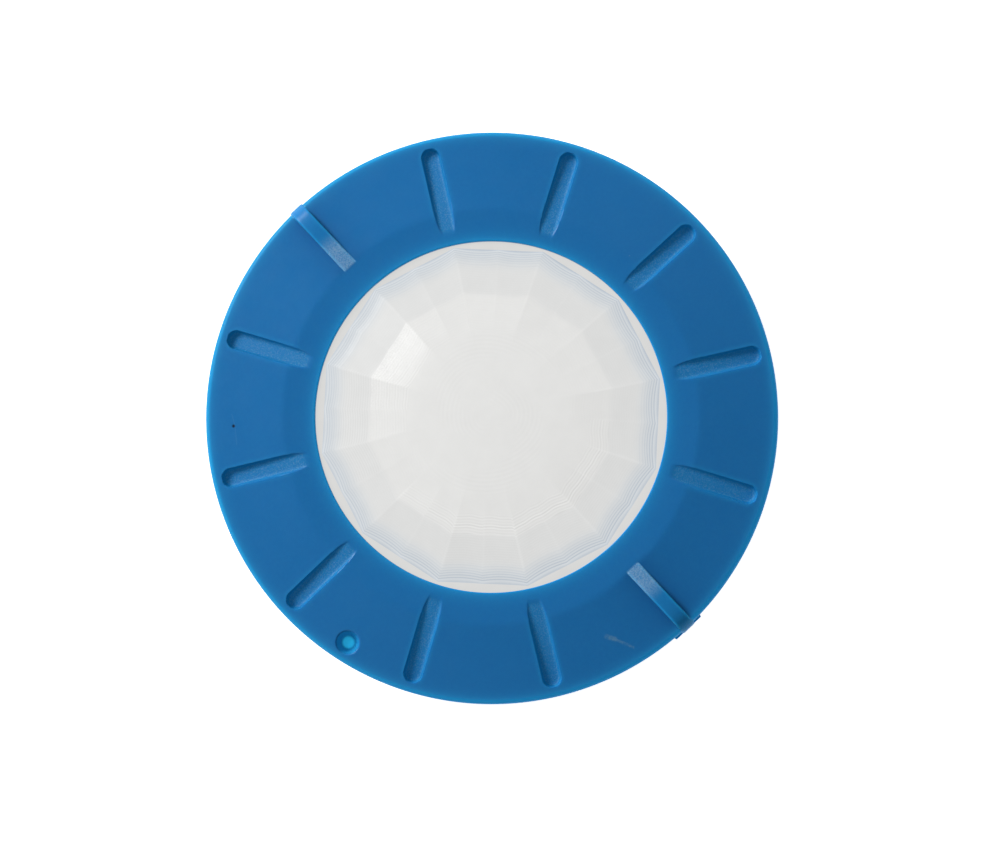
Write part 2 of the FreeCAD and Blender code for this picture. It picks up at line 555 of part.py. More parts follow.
# ---------------------------------------------------------------- leads
coil_leads = []
for s in (-1, 1):
    pts = [(40.0, 1.1 * s, 8.05), (43.0, 1.1 * s, 8.05), (43.0, 2.2 * s, 12.0), (34.0, 3.0 * s, 12.6), (34.0, 3.0 * s, 16.4)]
    coil_leads.append(tube(pts, 0.5, 0.9))
keep("coil_leads", Part.makeCompound(coil_leads))
led_leads = []
for s in (-1, 1):
    pts = [(2.0 * s, -37.0, 16.4), (2.0 * s, -37.0, 19.5), (1.1 * s, -46.5, 21.0), (1.1 * s, -46.5, 29.6), (1.1 * s, -41.0, 29.92), (1.1 * s, -38.0, 29.92)]
    led_leads.append(tube(pts, 0.5, 1.1))
keep("led_leads", Part.makeCompound(led_leads))
gr = revolve([(2.05, SPREADER_Z0 - 1.0), (4.0, SPREADER_Z0 - 1.0), (4.0, SPREADER_Z0), (2.95, SPREADER_Z0), (2.95, SPREADER_Z1), (3.4, SPREADER_Z1), (3.4, SPREADER_Z1 + 0.9), (2.05, SPREADER_Z1 + 0.9)])
gr.translate(V(0, -46.5, 0))
keep("lead_grommet", gr)

total = sum(s.Volume for s in PARTS.values())
print("nodes", len(PARTS), "total volume cm3 %.1f" % (total / 1000))
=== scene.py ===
import math

import bpy
import numpy as np
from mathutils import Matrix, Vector


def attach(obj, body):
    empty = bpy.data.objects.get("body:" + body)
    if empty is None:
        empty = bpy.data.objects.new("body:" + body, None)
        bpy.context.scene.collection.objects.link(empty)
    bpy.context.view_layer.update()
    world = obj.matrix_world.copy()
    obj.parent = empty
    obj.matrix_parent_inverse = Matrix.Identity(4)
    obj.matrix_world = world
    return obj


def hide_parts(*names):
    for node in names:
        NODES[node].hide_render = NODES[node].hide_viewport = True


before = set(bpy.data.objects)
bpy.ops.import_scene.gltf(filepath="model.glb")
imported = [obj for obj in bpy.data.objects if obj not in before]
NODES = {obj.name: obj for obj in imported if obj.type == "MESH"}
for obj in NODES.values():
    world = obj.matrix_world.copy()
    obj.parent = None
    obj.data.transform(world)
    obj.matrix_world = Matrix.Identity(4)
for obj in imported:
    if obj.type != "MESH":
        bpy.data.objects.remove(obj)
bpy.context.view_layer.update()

scene = bpy.context.scene
RNG = np.random.default_rng(20)

# ------------------------------------------------------------------ sizes in millimetres, as in the CAD
OPEN_R, CREST_R, RING_R, RING_TOP = 61.25, 72.5, 100.0, 40.0
LIP = 0.4
TAN = math.tan(math.radians(6.5))
COS, SIN = math.cos(math.radians(6.5)), math.sin(math.radians(6.5))
PLATE_T, SKIRT_T, SKIRT_Z = 2.6, 2.4, 20.0
COLLAR_R1, COLLAR_R2, COLLAR_Z = 80.4, 83.2, 19.5
GROOVE_W, GROOVE_R0, GROOVE_R1, GROOVE_CORNER = 6.5, 65.4, 96.3, 1.6
GROOVE_TAN = math.tan(math.radians(9.8))
RIB_HALF = 2.65
RIB_R0 = 71.8
RIB_TOP = [(72.2, 40.1), (79.0, 40.25), (85.0, 40.2), (91.0, 39.9), (95.2, 39.15), (97.6, 38.0), (99.4, 36.4), (100.5, 34.8), (100.9, 32.9)]
LUG_HALF, LUG_R, LUG_TOP = 6.0, 100.85, 27.0
PEG_ANG, PEG_R, PEG_R1, PEG_R2, PEG_DEPTH = 194.5, 93.05, 4.1, 2.5, 4.2
RIM_R = 2.0
YB = 7.2                 # half width of the band whose columns run parallel to a groove or rib


def smooth(a, b, x):
    t = np.clip((x - a) / (b - a), 0.0, 1.0)
    return t * t * (3 - 2 * t)


def softpos(d, k):
    """max(0, d) with a rounded corner of reach k."""
    return np.where(d > k, d, np.where(d < -k, 0.0, (d + k) ** 2 / (4 * k)))


def grid_mesh(name, points, wrap_u=True, wrap_v=False, attrs=None, sharp=50.0, extra=None):
    """points: rows x columns x 3 in mm. Columns close round (wrap_u); rows may close too (wrap_v)."""
    nr, nc = points.shape[:2]
    verts = points.reshape(-1, 3) / 1000.0
    idx = np.arange(nr * nc).reshape(nr, nc)
    rows = np.arange(nr if wrap_v else nr - 1)
    cols = np.arange(nc if wrap_u else nc - 1)
    a = idx[rows][:, cols]
    b = idx[rows][:, (cols + 1) % nc]
    c = idx[(rows + 1) % nr][:, (cols + 1) % nc]
    d = idx[(rows + 1) % nr][:, cols]
    faces = np.stack([a, b, c, d], -1).reshape(-1, 4).tolist()
    if extra:
        faces += extra(idx)
    return plain_mesh(name, verts, faces, attrs, sharp)


def plain_mesh(name, verts, faces, attrs=None, sharp=50.0):
    me = bpy.data.meshes.new(name)
    me.from_pydata([tuple(v) for v in verts], [], faces)
    me.update()
    for k, v in (attrs or {}).items():
        at = me.attributes.new(k, "FLOAT", "POINT")
        at.data.foreach_set("value", np.asarray(v, np.float32).ravel())
    me.polygons.foreach_set("use_smooth", [True] * len(me.polygons))
    if sharp:
        me.set_sharp_from_angle(angle=math.radians(sharp))
    ob = bpy.data.objects.new(name, me)
    scene.collection.objects.link(ob)
    return ob


def catmull(pts, n=40):
    pts = [np.array(p, float) for p in pts]
    pts = [2 * pts[0] - pts[1]] + pts + [2 * pts[-1] - pts[-2]]
    out = []
    for i in range(1, len(pts) - 2):
        p0, p1, p2, p3 = pts[i - 1:i + 3]
        for t in np.linspace(0, 1, n, endpoint=(i == len(pts) - 3)):
            out.append(0.5 * (2 * p1 + (p2 - p0) * t + (2 * p0 - 5 * p1 + 4 * p2 - p3) * t * t + (3 * p1 - p0 - 3 * p2 + p3) * t ** 3))
    return np.array(out)


# ------------------------------------------------------------------ the lens ring
def top_z(r):
    half = 20.0 * math.tan(math.radians(3.25))
    r0, r1 = CREST_R - half, CREST_R + half * COS
    blend = RING_TOP - 20.0 + np.sqrt(np.maximum(400.0 - (r - r0) ** 2, 0))
    return np.where(r < r0, RING_TOP, np.where(r < r1, blend, RING_TOP - (r - CREST_R) * TAN))


def under_z(r):
    return RING_TOP - (r - CREST_R) * TAN - PLATE_T / COS


def tool(X, Y, half, corner, drop):
    """Floor of a finger groove, and its distance in from the groove's edge."""
    x1 = GROOVE_R1 - GROOVE_W / 2
    dist = np.where(X < x1, np.abs(Y), np.hypot(X - x1, Y))
    s = half - dist
    q = np.clip(corner - s, 0, corner)
    side = np.where(s > 0, corner - np.sqrt(corner ** 2 - q ** 2), corner - s * 9.0)
    return RING_TOP - (X - GROOVE_R0) * GROOVE_TAN - drop + side, s


def ring_columns():
    y_in = [0.0, 0.5, 1.0, 1.5, 2.0, 2.2, 2.4, 2.6, 2.8, 3.0, 3.2, 3.4, 3.6, 3.8, 4.0, 4.5, 5.0, 5.5, 5.8, 6.0, 6.2, 6.5, YB]
    cols = []
    for k in range(12):
        up = 64 if k == 6 else 12
        down = 64 if k == 7 else 12
        for j in range(down - 1, 0, -1):
            cols.append((k, 1, -j / down))
        for y in reversed(y_in[1:]):
            cols.append((k, 0, -y))
        for y in y_in:
            cols.append((k, 0, y))
        for j in range(1, up + 1):
            cols.append((k, 1, j / up))
    return cols


COLS = ring_columns()
CK = np.array([c[0] for c in COLS])
CM = np.array([c[1] for c in COLS])
CV = np.array([c[2] for c in COLS], float)


def local_xy(r):
    """Column positions at radius r, in the frame of each column's own groove or rib."""
    yy = np.where(CM == 0, CV, 0.0)
    a = np.arcsin(np.clip(yy / r, -1, 1))
    ab = math.asin(YB / r)
    f = np.abs(CV)
    a = np.where(CM == 0, a, np.sign(CV) * (ab + (math.radians(15) - ab) * f))
    return r * np.cos(a), r * np.sin(a)


def ring_rows():
    """(zone, r, z) round the whole section, starting at the lip of the window and going outwards."""
    rows = []
    for i in range(0, 7):
        a = math.radians(180 - 15 * i)
        rows.append(("lip", OPEN_R + LIP + LIP * math.cos(a), RING_TOP - LIP + LIP * math.sin(a)))
    edge = RING_R - RIM_R + RIM_R * SIN
    rs = list(np.arange(61.9, 65.0, 0.6)) + list(np.arange(65.0, 74.0, 0.4)) + list(np.arange(74.0, 88.4, 0.72)) + list(np.arange(88.4, edge - 0.2, 0.3)) + [edge]
    rows += [("top", r, float(top_z(np.array(r)))) for r in rs]
    fcz = RING_TOP - (edge - CREST_R) * TAN - RIM_R * COS
    n = 12
    for i in range(1, n + 1):
        a = math.radians(83.5 * (1 - i / n))
        rows.append(("rim%d" % i, RING_R - RIM_R + RIM_R * math.cos(a), fcz + RIM_R * math.sin(a)))
    zs = [34.6, 34.0, 33.4, 32.9, 32.4, 31.8, 31.25, 31.1, 30.95, 30.6, 29.0, 27.6, 27.2, 27.05, 26.9, 26.7, 26.4, 25.0, 22.5, 20.9, 20.6]
    rows += [("skirt", RING_R, z) for z in zs]
    for i in range(1, 5):
        a = math.radians(-22.5 * i)
        rows.append(("in", RING_R - 0.6 + 0.6 * math.cos(a), SKIRT_Z + 0.6 + 0.6 * math.sin(a)))
    ri = RING_R - SKIRT_T
    rows += [("in", ri + 0.25, SKIRT_Z), ("in", ri + 0.07, SKIRT_Z + 0.07), ("in", ri, SKIRT_Z + 0.25), ("in", ri, 24.0), ("in", ri, 29.0), ("in", ri, 32.5)]
    rows += [("under", r, float(under_z(r))) for r in [ri, ri - 0.3] + list(np.arange(96.9, 88.3, -0.3)) + list(np.arange(88.0, 83.8, -0.8)) + [COLLAR_R2 + 0.3, COLLAR_R2]]
    rows += [("in", COLLAR_R2, z) for z in (35.0, 32.0, 26.0, 21.0, COLLAR_Z + 0.25)] + [("in", COLLAR_R2 - 0.07, COLLAR_Z + 0.07), ("in", COLLAR_R2 - 0.25, COLLAR_Z)]
    rows += [("in", COLLAR_R1 + 0.25, COLLAR_Z), ("in", COLLAR_R1 + 0.07, COLLAR_Z + 0.07), ("in", COLLAR_R1, COLLAR_Z + 0.25)] + [("in", COLLAR_R1, z) for z in (21.0, 26.0, 32.0, 36.0)]
    ux = CREST_R + (PLATE_T / COS - PLATE_T) / TAN
    rows += [("under", r, float(under_z(r))) for r in (COLLAR_R1, COLLAR_R1 - 0.3, 79.0, 77.6, 76.2, 74.9)] + [("in", ux, RING_TOP - PLATE_T), ("in", 69.0, RING_TOP - PLATE_T), ("in", 65.0, RING_TOP - PLATE_T)]
    rows += [("in", OPEN_R + 0.25, RING_TOP - PLATE_T), ("in", OPEN_R + 0.07, RING_TOP - PLATE_T + 0.07), ("in", OPEN_R, RING_TOP - PLATE_T + 0.25), ("in", OPEN_R, 38.6)]
    return rows


def build_ring():
    rows = ring_rows()
    rib_curve = catmull(RIB_TOP)
    seg_len = np.concatenate([[0], np.cumsum(np.hypot(*np.diff(rib_curve, axis=0).T))])
    s0 = np.interp(RING_R - RIM_R + RIM_R * SIN, rib_curve[:, 0], seg_len)
    is_rib = (CK == 3) | (CK == 9)
    px, py = PEG_R * math.cos(math.radians(PEG_ANG)), PEG_R * math.sin(math.radians(PEG_ANG))
    ang0 = np.radians(30.0 * CK)
    P, grain, glow, floor_, painted_thin_glow, rough_top, edge_, rimglow, shade = [], [], [], [], [], [], [], [], []
    for zone, r, z in rows:
        X, Y = local_xy(r)
        Z = np.full_like(X, z)
        g = np.zeros_like(X)
        gl = np.zeros_like(X)
        rg = np.zeros_like(X)
        sh = np.zeros_like(X)
        fl = np.zeros_like(X)
        th = np.zeros_like(X)
        rt = np.zeros_like(X)
        if zone in ("top", "lip"):
            tz, s = tool(X, Y, GROOVE_W / 2, GROOVE_CORNER, 0.0)
            h = np.where(is_rib, 0.0, softpos(Z - tz, 0.2))
            h = np.where(np.abs(Y) > YB - 1.0, 0.0, h)
            Z = Z - h
            g = smooth(0.08, 0.35, h) * smooth(0.15, 0.7, s)
            fl = smooth(0.05, 0.3, h)
            # painted highlight: a lighter base and a faint emission along the lips of each finger groove
            gl = np.maximum(gl, np.where(is_rib, 0, 0.27) * np.exp(-((s + 0.45) / 0.75) ** 2) * smooth(68.0, 76.0, X) * smooth(97.0, 95.5, X))
            gx, gy = X * np.cos(ang0) - Y * np.sin(ang0), X * np.sin(ang0) + Y * np.cos(ang0)
            d = np.hypot(gx - px, gy - py)
            # the round recess: tapered wall, slightly domed floor
            deep = np.minimum(PEG_DEPTH * (PEG_R1 - d) / (PEG_R1 - PEG_R2), PEG_DEPTH - 0.55 * np.clip(1 - (d / PEG_R2) ** 2, 0, 1))
            hd = softpos(deep, 0.3)
            Z = Z - hd
            # painted glow: the floor of the round recess is given a light cyan base and an emission, standing in for
            # light shining through its thin bottom
            th = smooth(2.65, 1.6, d)
            fl = np.maximum(fl, smooth(0.2, 1.5, hd) * smooth(2.3, 2.9, d) * 0.3)
            # painted shade on the recess wall (darker base), together with a painted glow there (emission)
            wall = smooth(0.1, 0.8, hd) * (1 - th)
        # flat pads below the outer ends of the ribs
        if zone == "skirt":
            my = np.where(is_rib, smooth(LUG_HALF + 0.15, LUG_HALF - 0.15, np.abs(Y)), 0) * (CM == 0)
            my0 = my * (1.0 if z < LUG_TOP + 0.1 else 0.0)
            mz = smooth(LUG_TOP + 0.1, LUG_TOP - 0.25, z)
            X = X + (LUG_R - X) * my * mz
        # grip ribs
        if zone in ("top", "skirt") or zone.startswith("rim"):
            ay = np.abs(Y)
            crown = 0.3 * np.clip((ay - 2.05) / 0.6, 0, 1) ** 2
            my = np.where(is_rib & (CM == 0), smooth(2.82, 2.6, ay), 0)
            if zone == "top":
                mx = smooth(RIB_R0 - 0.15, RIB_R0 + 0.2, X)
                Xr, Zr = X, np.interp(X, rib_curve[:, 0], rib_curve[:, 1]) - crown
            elif zone.startswith("rim"):
                mx = 1.0
                s_here = s0 + (seg_len[-1] - s0) * int(zone[3:]) / 12.0
                Xr = np.full_like(X, np.interp(s_here, seg_len, rib_curve[:, 0])) - crown * 0.7
                Zr = np.full_like(X, np.interp(s_here, seg_len, rib_curve[:, 1])) - crown * 0.5
            else:
                mx = 1.0 if z > LUG_TOP - 0.1 else 0.0
                Xr = np.full_like(X, 100.9) - crown
                Zr = np.full_like(X, z if z <= 31.1 else 32.9 - (35.08 - z) * (1.8 / 3.98))
            m = my * mx
            if zone == "top":
                # painted shade beside the rib (set further down), and the rough inner half of its top
                rt = m * smooth(86.5, 79.5, X)
            X = X + (Xr - X) * m
            Z = Z + (Zr - Z) * m
            # painted highlight: a lighter base and an emission along both top edges of each rib, weaker over its whole
            # top, and at its rounded outer end
            gl = np.maximum(gl, m * np.maximum(0.22 + 0.6 * smooth(1.5, 2.6, ay), 0.5 * smooth(95.5, 100.5, X)))
            on_rib = m
            # painted shade: the plate beside each rib gets a darker base, fading away from the rib; the recess wall
            # gets the same painted shade
            sh = np.where(is_rib, np.exp(-np.clip(ay - 2.7, 0, 99) / 4.5), 0) * (1 - m) * (smooth(RIB_R0 - 1.5, RIB_R0 + 1.5, X) if zone == "top" else 1.0 if zone != "skirt" else 0.0)
            if zone == "top":
                sh = np.maximum(sh, wall)
        if zone == "under" and r < 97.0:
            tz, s = tool(X, Y, GROOVE_W / 2 + 2.0, 3.6, 1.95)
            h = np.where(is_rib, 0.0, softpos(Z - tz, 0.3)) * smooth(74.6, 75.6, X)
            Z = Z - np.where(np.abs(Y) > YB - 0.4, 0.0, h)
            d = np.hypot(X * np.cos(ang0) - Y * np.sin(ang0) - px, X * np.sin(ang0) + Y * np.cos(ang0) - py)
            Z = np.minimum(Z, np.interp(d, (0.0, 3.6, 4.1, 5.6), (31.4, 31.4, 31.9, 36.2)))
        # painted glow where the plastic is thin or ends: a lighter base and an emission on the window lip, near the
        # window edge, on the rim, skirt and pads and on the recess wall, standing in for light coming through the
        # plastic
        if zone == "lip":
            gl = np.maximum(gl, 0.9)
        elif zone == "top":
            gl = np.maximum(gl, 1.1 * np.exp(-(r - OPEN_R) / 1.7))
            rg = np.maximum((1 - on_rib) * 0.45 * math.exp((r - 98.23) / 1.2), 0.7 * wall)
        elif zone.startswith("rim"):
            q = int(zone[3:]) / 12.0
            rg = (1 - on_rib) * (0.45 + 0.55 * min(1.0, q / 0.27) ** 0.8) + on_rib * 0.5 * smooth(0.80, 0.97, q)
        elif zone == "skirt":
            rg = (1 - on_rib) * np.maximum(0.9 * math.exp((z - 35.1) / 5.0), 0.7 * my0) + on_rib * (0.55 if z > 30 else 0.4)
        gx, gy = X * np.cos(ang0) - Y * np.sin(ang0), X * np.sin(ang0) + Y * np.cos(ang0)
        P.append(np.stack([gx, gy, Z], -1))
        edge_.append(np.full_like(X, 1.0 if zone in ("lip", "in", "under", "skirt") or zone.startswith("rim") else 0.0) * np.where(is_rib & (np.abs(Y) < 2.9), 0.0, 1.0))
        if zone == "top":
            edge_[-1] = np.maximum(edge_[-1], np.maximum(np.maximum(smooth(0.1, 0.4, hd), 0.6 * fl), 0.55 * on_rib))
        elif zone.startswith("rim"):
            edge_[-1] = np.maximum(edge_[-1], 0.55 * on_rib)
        rimglow.append(rg)
        shade.append(sh)
        grain.append(g)
        glow.append(gl)
        floor_.append(fl)
        painted_thin_glow.append(th)
        rough_top.append(rt)
    P = np.array(P)
    # very slight sink and warp of a moulded part
    ang = np.arctan2(P[..., 1], P[..., 0])
    rr = np.hypot(P[..., 0], P[..., 1])
    P[..., 2] += -0.05 * (1 + np.cos(2 * ang + 0.7)) * smooth(75, 90, rr) * smooth(34.0, 36.5, P[..., 2])
    parts = [grid_mesh("ring_skin", P, True, True, {"grain": np.array(grain), "glow": np.array(glow), "groove": np.array(floor_), "painted_thin_glow": np.array(painted_thin_glow), "worn": np.array(rough_top), "edge": np.array(edge_), "rimglow": np.array(rimglow), "shade": np.array(shade)})]

    def block(name, corners, faces=None):
        f = faces or [(0, 1, 2, 3), (7, 6, 5, 4), (0, 4, 5, 1), (1, 5, 6, 2), (2, 6, 7, 3), (3, 7, 4, 0)]
        return plain_mesh(name, np.array(corners) / 1000.0, f, {k: np.zeros(len(corners)) for k in ("grain", "glow", "groove", "painted_thin_glow", "worn", "edge", "rimglow", "shade")}, 30)

    # webs behind the plate
    for k in range(12):
        a = math.radians(30 * k + 15)
        ca, sa = math.cos(a), math.sin(a)
        n = 30
        xs = np.linspace(82.7, 98.0, n)
        loop = []
        for t in (-1.0, 1.0):
            lo = [(x, t, 24.5) for x in xs]
            hi = [(x, t * 0.85, 31.7 if k == 6 and abs(x - PEG_R) < 4.5 else float(under_z(x)) + 0.5) for x in xs]
            loop.append((lo, hi))
        (l0, h0), (l1, h1) = loop
        pts = l0 + h0 + l1 + h1
        vs = [(x * ca - y * sa, x * sa + y * ca, z) for x, y, z in pts]
        f = []
        for i in range(n - 1):
            f.append((i, i + 1, n + i + 1, n + i))
            f.append((2 * n + i + 1, 2 * n + i, 3 * n + i, 3 * n + i + 1))
            f.append((i + 1, i, 2 * n + i, 2 * n + i + 1))
            f.append((n + i, n + i + 1, 3 * n + i + 1, 3 * n + i))
        f += [(0, n, 3 * n, 2 * n), (n - 1, 3 * n - 1, 4 * n - 1, 2 * n - 1)]
        parts.append(block("web", vs, f))
    # bayonet lugs
    for k in range(4):
        n = 10
        vs, f = [], []
        for i in range(n + 1):
            d = 8.0 + 90.0 * k + 0.8 + 14.0 * i / n
            z = 24.2 + 24.0 * (0.8 + 14.0 * i / n) / 360.0 - 0.2 - 3.2
            a = math.radians(d)
            for r, h in ((76.4, z), (80.9, z), (80.9, z + 3.2), (76.4, z + 3.2)):
                vs.append((r * math.cos(a), r * math.sin(a), h))
        for i in range(n):
            for j in range(4):
                f.append((4 * i + j, 4 * i + (j + 1) % 4, 4 * i + 4 + (j + 1) % 4, 4 * i + 4 + j))
        f += [(3, 2, 1, 0), (4 * n, 4 * n + 1, 4 * n + 2, 4 * n + 3)]
        parts.append(block("lug", vs, f))
    return join("lens_ring_moulding", parts)


def join(name, objs):
    """One object out of several."""
    for o in bpy.context.selected_objects:
        o.select_set(False)
    for o in objs:
        o.select_set(True)
    bpy.context.view_layer.objects.active = objs[0]
    bpy.ops.object.join()
    ob = bpy.context.view_layer.objects.active
    ob.name = ob.data.name = name
    ob.select_set(False)
    return ob


# ------------------------------------------------------------------ the lens
CORNER_0 = -0.8
FLANGE_R, FLANGE_Z0, FLANGE_Z1, STEP_R, STEP_Z = 71.4, 33.8, 36.8, 60.9, 39.0
# (corner radius, height, hollow of each half side) down the outside
LEVELS = [(0.0, 60.0, 0.0), (12.0, 59.2, 0.04), (28.8, 56.0, 0.14), (43.1, 49.6, 0.26), (54.7, 45.7, 0.55), (57.4, 44.4, 0.80), (59.4, 42.0, 0.70), (60.3, 39.0, 0.10)]
LEVELS_IN = [(57.5, 38.0), (56.6, 40.6), (54.9, 42.4), (52.6, 43.2), (42.0, 46.9), (28.0, 53.2), (11.5, 56.4), (0.0, 57.2)]
HALF_COLS = 18
# (distance in from the edge, depth, darkness)
STEPS = ((0.12, 0.0, 1.0), (1.15, 0.06, 0.9), (2.05, 0.07, 0.8), (2.95, 0.06, 0.65), (3.85, 0.045, 0.5), (4.8, 0.03, 0.32), (5.9, 0.02, 0.2))


def poly_radius(rc, frac, hollow, round_):
    """Radius of a twelve-sided level at each column; frac runs 0..1 from one corner to the next."""
    a = (frac - 0.5) * 30.0
    rho = rc * math.cos(math.radians(15)) / np.cos(np.radians(a))
    rho = rho + (rc * 0.984 - rho) * round_
    u = np.abs(a) / 15.0
    return rho - hollow * 4 * u * (1 - u)


def build_lens():
    nc = 24 * HALF_COLS
    j = np.arange(nc)
    frac = (j % (2 * HALF_COLS)) / (2 * HALF_COLS)
    theta = np.radians(CORNER_0 + 360.0 * j / nc)
    facet = j // HALF_COLS                      # half side, 0..23
    picture = np.degrees(theta) + 43.2          # azimuth as seen in the picture
    low_right = 0.5 + 0.5 * np.cos(np.radians(picture - 318.0))
    top_right = np.clip(np.cos(np.radians(picture - 75.0)), 0, 1)
    ct, st = np.cos(theta), np.sin(theta)
    lv = np.array(LEVELS)
    run = np.concatenate([[0], np.cumsum(np.hypot(np.diff(lv[:, 0]), np.diff(lv[:, 1])))])
    crown = catmull([(-28.8, 56.0), (-12.0, 59.2), (0.0, 60.0), (12.0, 59.2), (28.8, 56.0), (43.1, 49.6)], 30)
    crown = crown[crown[:, 0] >= 0]
    samples = []
    spans = [(0, 1, 30), (1, 2, 60), (2, 3, 96), (3, 4, 76), (4, 5, 26), (5, 6, 26), (6, 7, 18)]
    for a, b, n in spans:
        samples += list(np.linspace(run[a], run[b], n, endpoint=False))
    samples = np.array(samples[1:] + [run[-1]])
    # each half side of each tier was cut by hand of the toolmaker: own tilt, tone and tool marks
    tilt = RNG.normal(0, 1, (4, 24))
    tone = RNG.normal(0, 1, (4, 24))
    tone[2] = (tone[2] + np.roll(tone[2], 1)) * 0.7
    ph = RNG.uniform(0, 6.28, (4, 24))
    amp2 = np.full(24, 0.15)
    amp2[12:21] = (0.6, 1.0, 1.3, 1.3, 1.4, 1.4, 1.3, 1.2, 0.8)
    amp2[[5, 6, 7, 8, 9]] = (0.3, 0.7, 0.9, 0.8, 0.4)
    amp3 = np.full(24, 0.10)
    amp3[[8, 9, 10]] = (0.35, 0.45, 0.35)
    amp3[14:20] = 0.18
    P, A = [], {k: [] for k in ("inner", "skin", "blue", "line", "mark", "spark")}

    def put(p, **kw):
        P.append(p)
        for k in A:
            A[k].append(np.broadcast_to(np.asarray(kw.get(k, 0.0), float), (nc,)).copy())

    for s in samples:
        rc = float(np.interp(s, run, lv[:, 0]))
        z0 = float(np.interp(s, run, lv[:, 1]))
        if rc < 43.1:
            z0 = min(float(np.interp(rc, crown[:, 0], crown[:, 1])), 59.98)
        hol = float(np.interp(s, run, lv[:, 2]))
        rho = poly_radius(rc, frac, hol, float(smooth(33.0, 18.0, rc)))
        tier = 0 if rc < 28.8 else 1 if rc < 43.1 else 2 if rc < 54.7 else 3
        lo, hi = ((0.0, 28.8), (28.8, 43.1), (43.1, 54.7), (54.7, 60.3))[tier]
        f = (rc - lo) / (hi - lo)
        u = (j % HALF_COLS) / HALF_COLS
        edge_u = np.clip(np.minimum(u, 1 - u) * 8, 0, 1)
        bow = math.sin(math.pi * min(max(f, 0), 1))
        z = np.full(nc, z0)
        z = z + bow * edge_u * tilt[tier][facet] * (0.02, 0.05, 0.06, 0.0)[tier] * (u - 0.5)
        wob = 1.3 * np.sin(u * 3.7 + 1.7 * facet + 0.05 * s) + 0.55 * np.sin(u * 10 + 2.0 * facet)
        # tool marks parallel to the sides: a barely raised relief, shown mainly as painted shading stripes in the
        # emission
        mark = np.zeros(nc)
        if tier == 1:
            w = amp2[facet] * np.where((facet >= 12) & (facet <= 20), float(smooth(34.0, 39.5, rc)), 0.8)
            mark = w * np.sin(2 * math.pi * s / 1.12 + ph[1][facet] + wob) * (0.6 + 0.4 * math.sin(s * 1.7))
        elif tier == 2:
            mark = amp3[facet] * np.sin(2 * math.pi * s / 0.95 + ph[2][facet] + 0.6 * wob)
        elif tier == 0:
            mark = 0.16 * np.sin(2 * math.pi * rho / 1.5 + 2.2 * np.sin(theta * 3 + 1.0)) * np.clip(np.sin(theta * 2 + rc * 0.25) * 1.6, 0, 1) * float(smooth(2, 6, rc))
        z = z + 0.006 * mark
        # painted highlight: a light line on the ridge from an outer corner to the inner one
        ridge = np.where(j % (2 * HALF_COLS) == 0, 0.5, np.where(j % (2 * HALF_COLS) == HALF_COLS, 0.2, 0.0)) * float(smooth(33, 40, rc) * smooth(56.5, 54.0, rc))
        mark = mark + ridge
        tone_amp = (0.0, 0.15, 0.13, 0.0)[tier] * (smooth(28.8, 36.0, rc) if tier == 1 else bow ** 0.25 if tier == 2 else 0.0)
        mark = mark + tone[tier][facet] * float(tone_amp)
        # painted dark lines along the steps near the edge, standing in for refraction there; darker towards the lower
        # right, away from the key light, the outermost towards the upper right
        ln = np.zeros(nc)
        if rc > 50:
            e = 60.3 - rc
            for i, (e0, depth, dark) in enumerate(STEPS):
                near = math.exp(-((e - e0) / (0.42 if i == 0 else 0.19)) ** 2)
                z = z - depth * near
                side = 0.62 + 0.38 * top_right if i == 0 else 0.6 + 0.4 * low_right
                ln = np.maximum(ln, near * dark * side)
        # painted glow levels for the emission: brightest in the middle, a little less on the outer tiers and at the
        # rim; the flange gets a similar painted glow
        outer = float(smooth(41.5, 44.5, rc))
        rim = float(smooth(51.0, 58.0, rc))
        inner = 0.698 + (0.654 - 0.698) * outer + (0.653 - 0.654) * rim
        skin = 0.070 + (0.078 - 0.070) * outer + (0.036 - 0.078) * rim
        # painted glint: the emission is raised on the half sides facing the key light
        spark = np.interp(facet, (0, 4, 5, 6, 7, 8, 9, 10, 23), (0, 0, 0.2, 0.85, 1.0, 0.55, 0.3, 0, 0)) * (np.clip((rc - 27.0) / 16.1, 0, 1) ** 1.4 if rc < 43.1 else 0.0)
        put(np.stack([rho * ct, rho * st, z], -1), inner=inner, skin=skin, blue=0.08 * outer + 0.55 * rim, line=ln, mark=mark, spark=spark)

    ledge = dict(inner=0.645, skin=0.045, blue=0.0)

    def circle(r, z):
        put(np.stack([r * ct, r * st, np.full(nc, z)], -1), **ledge)

    def notch(r, z):
        """Flange edge with the two keyways."""
        X, Y = r * ct, r * st
        m = (np.abs(Y) < 3.3)
        X = np.where(m, np.sign(X) * np.minimum(np.abs(X), 69.6), X)
        put(np.stack([X, Y, np.full(nc, z)], -1), **ledge)

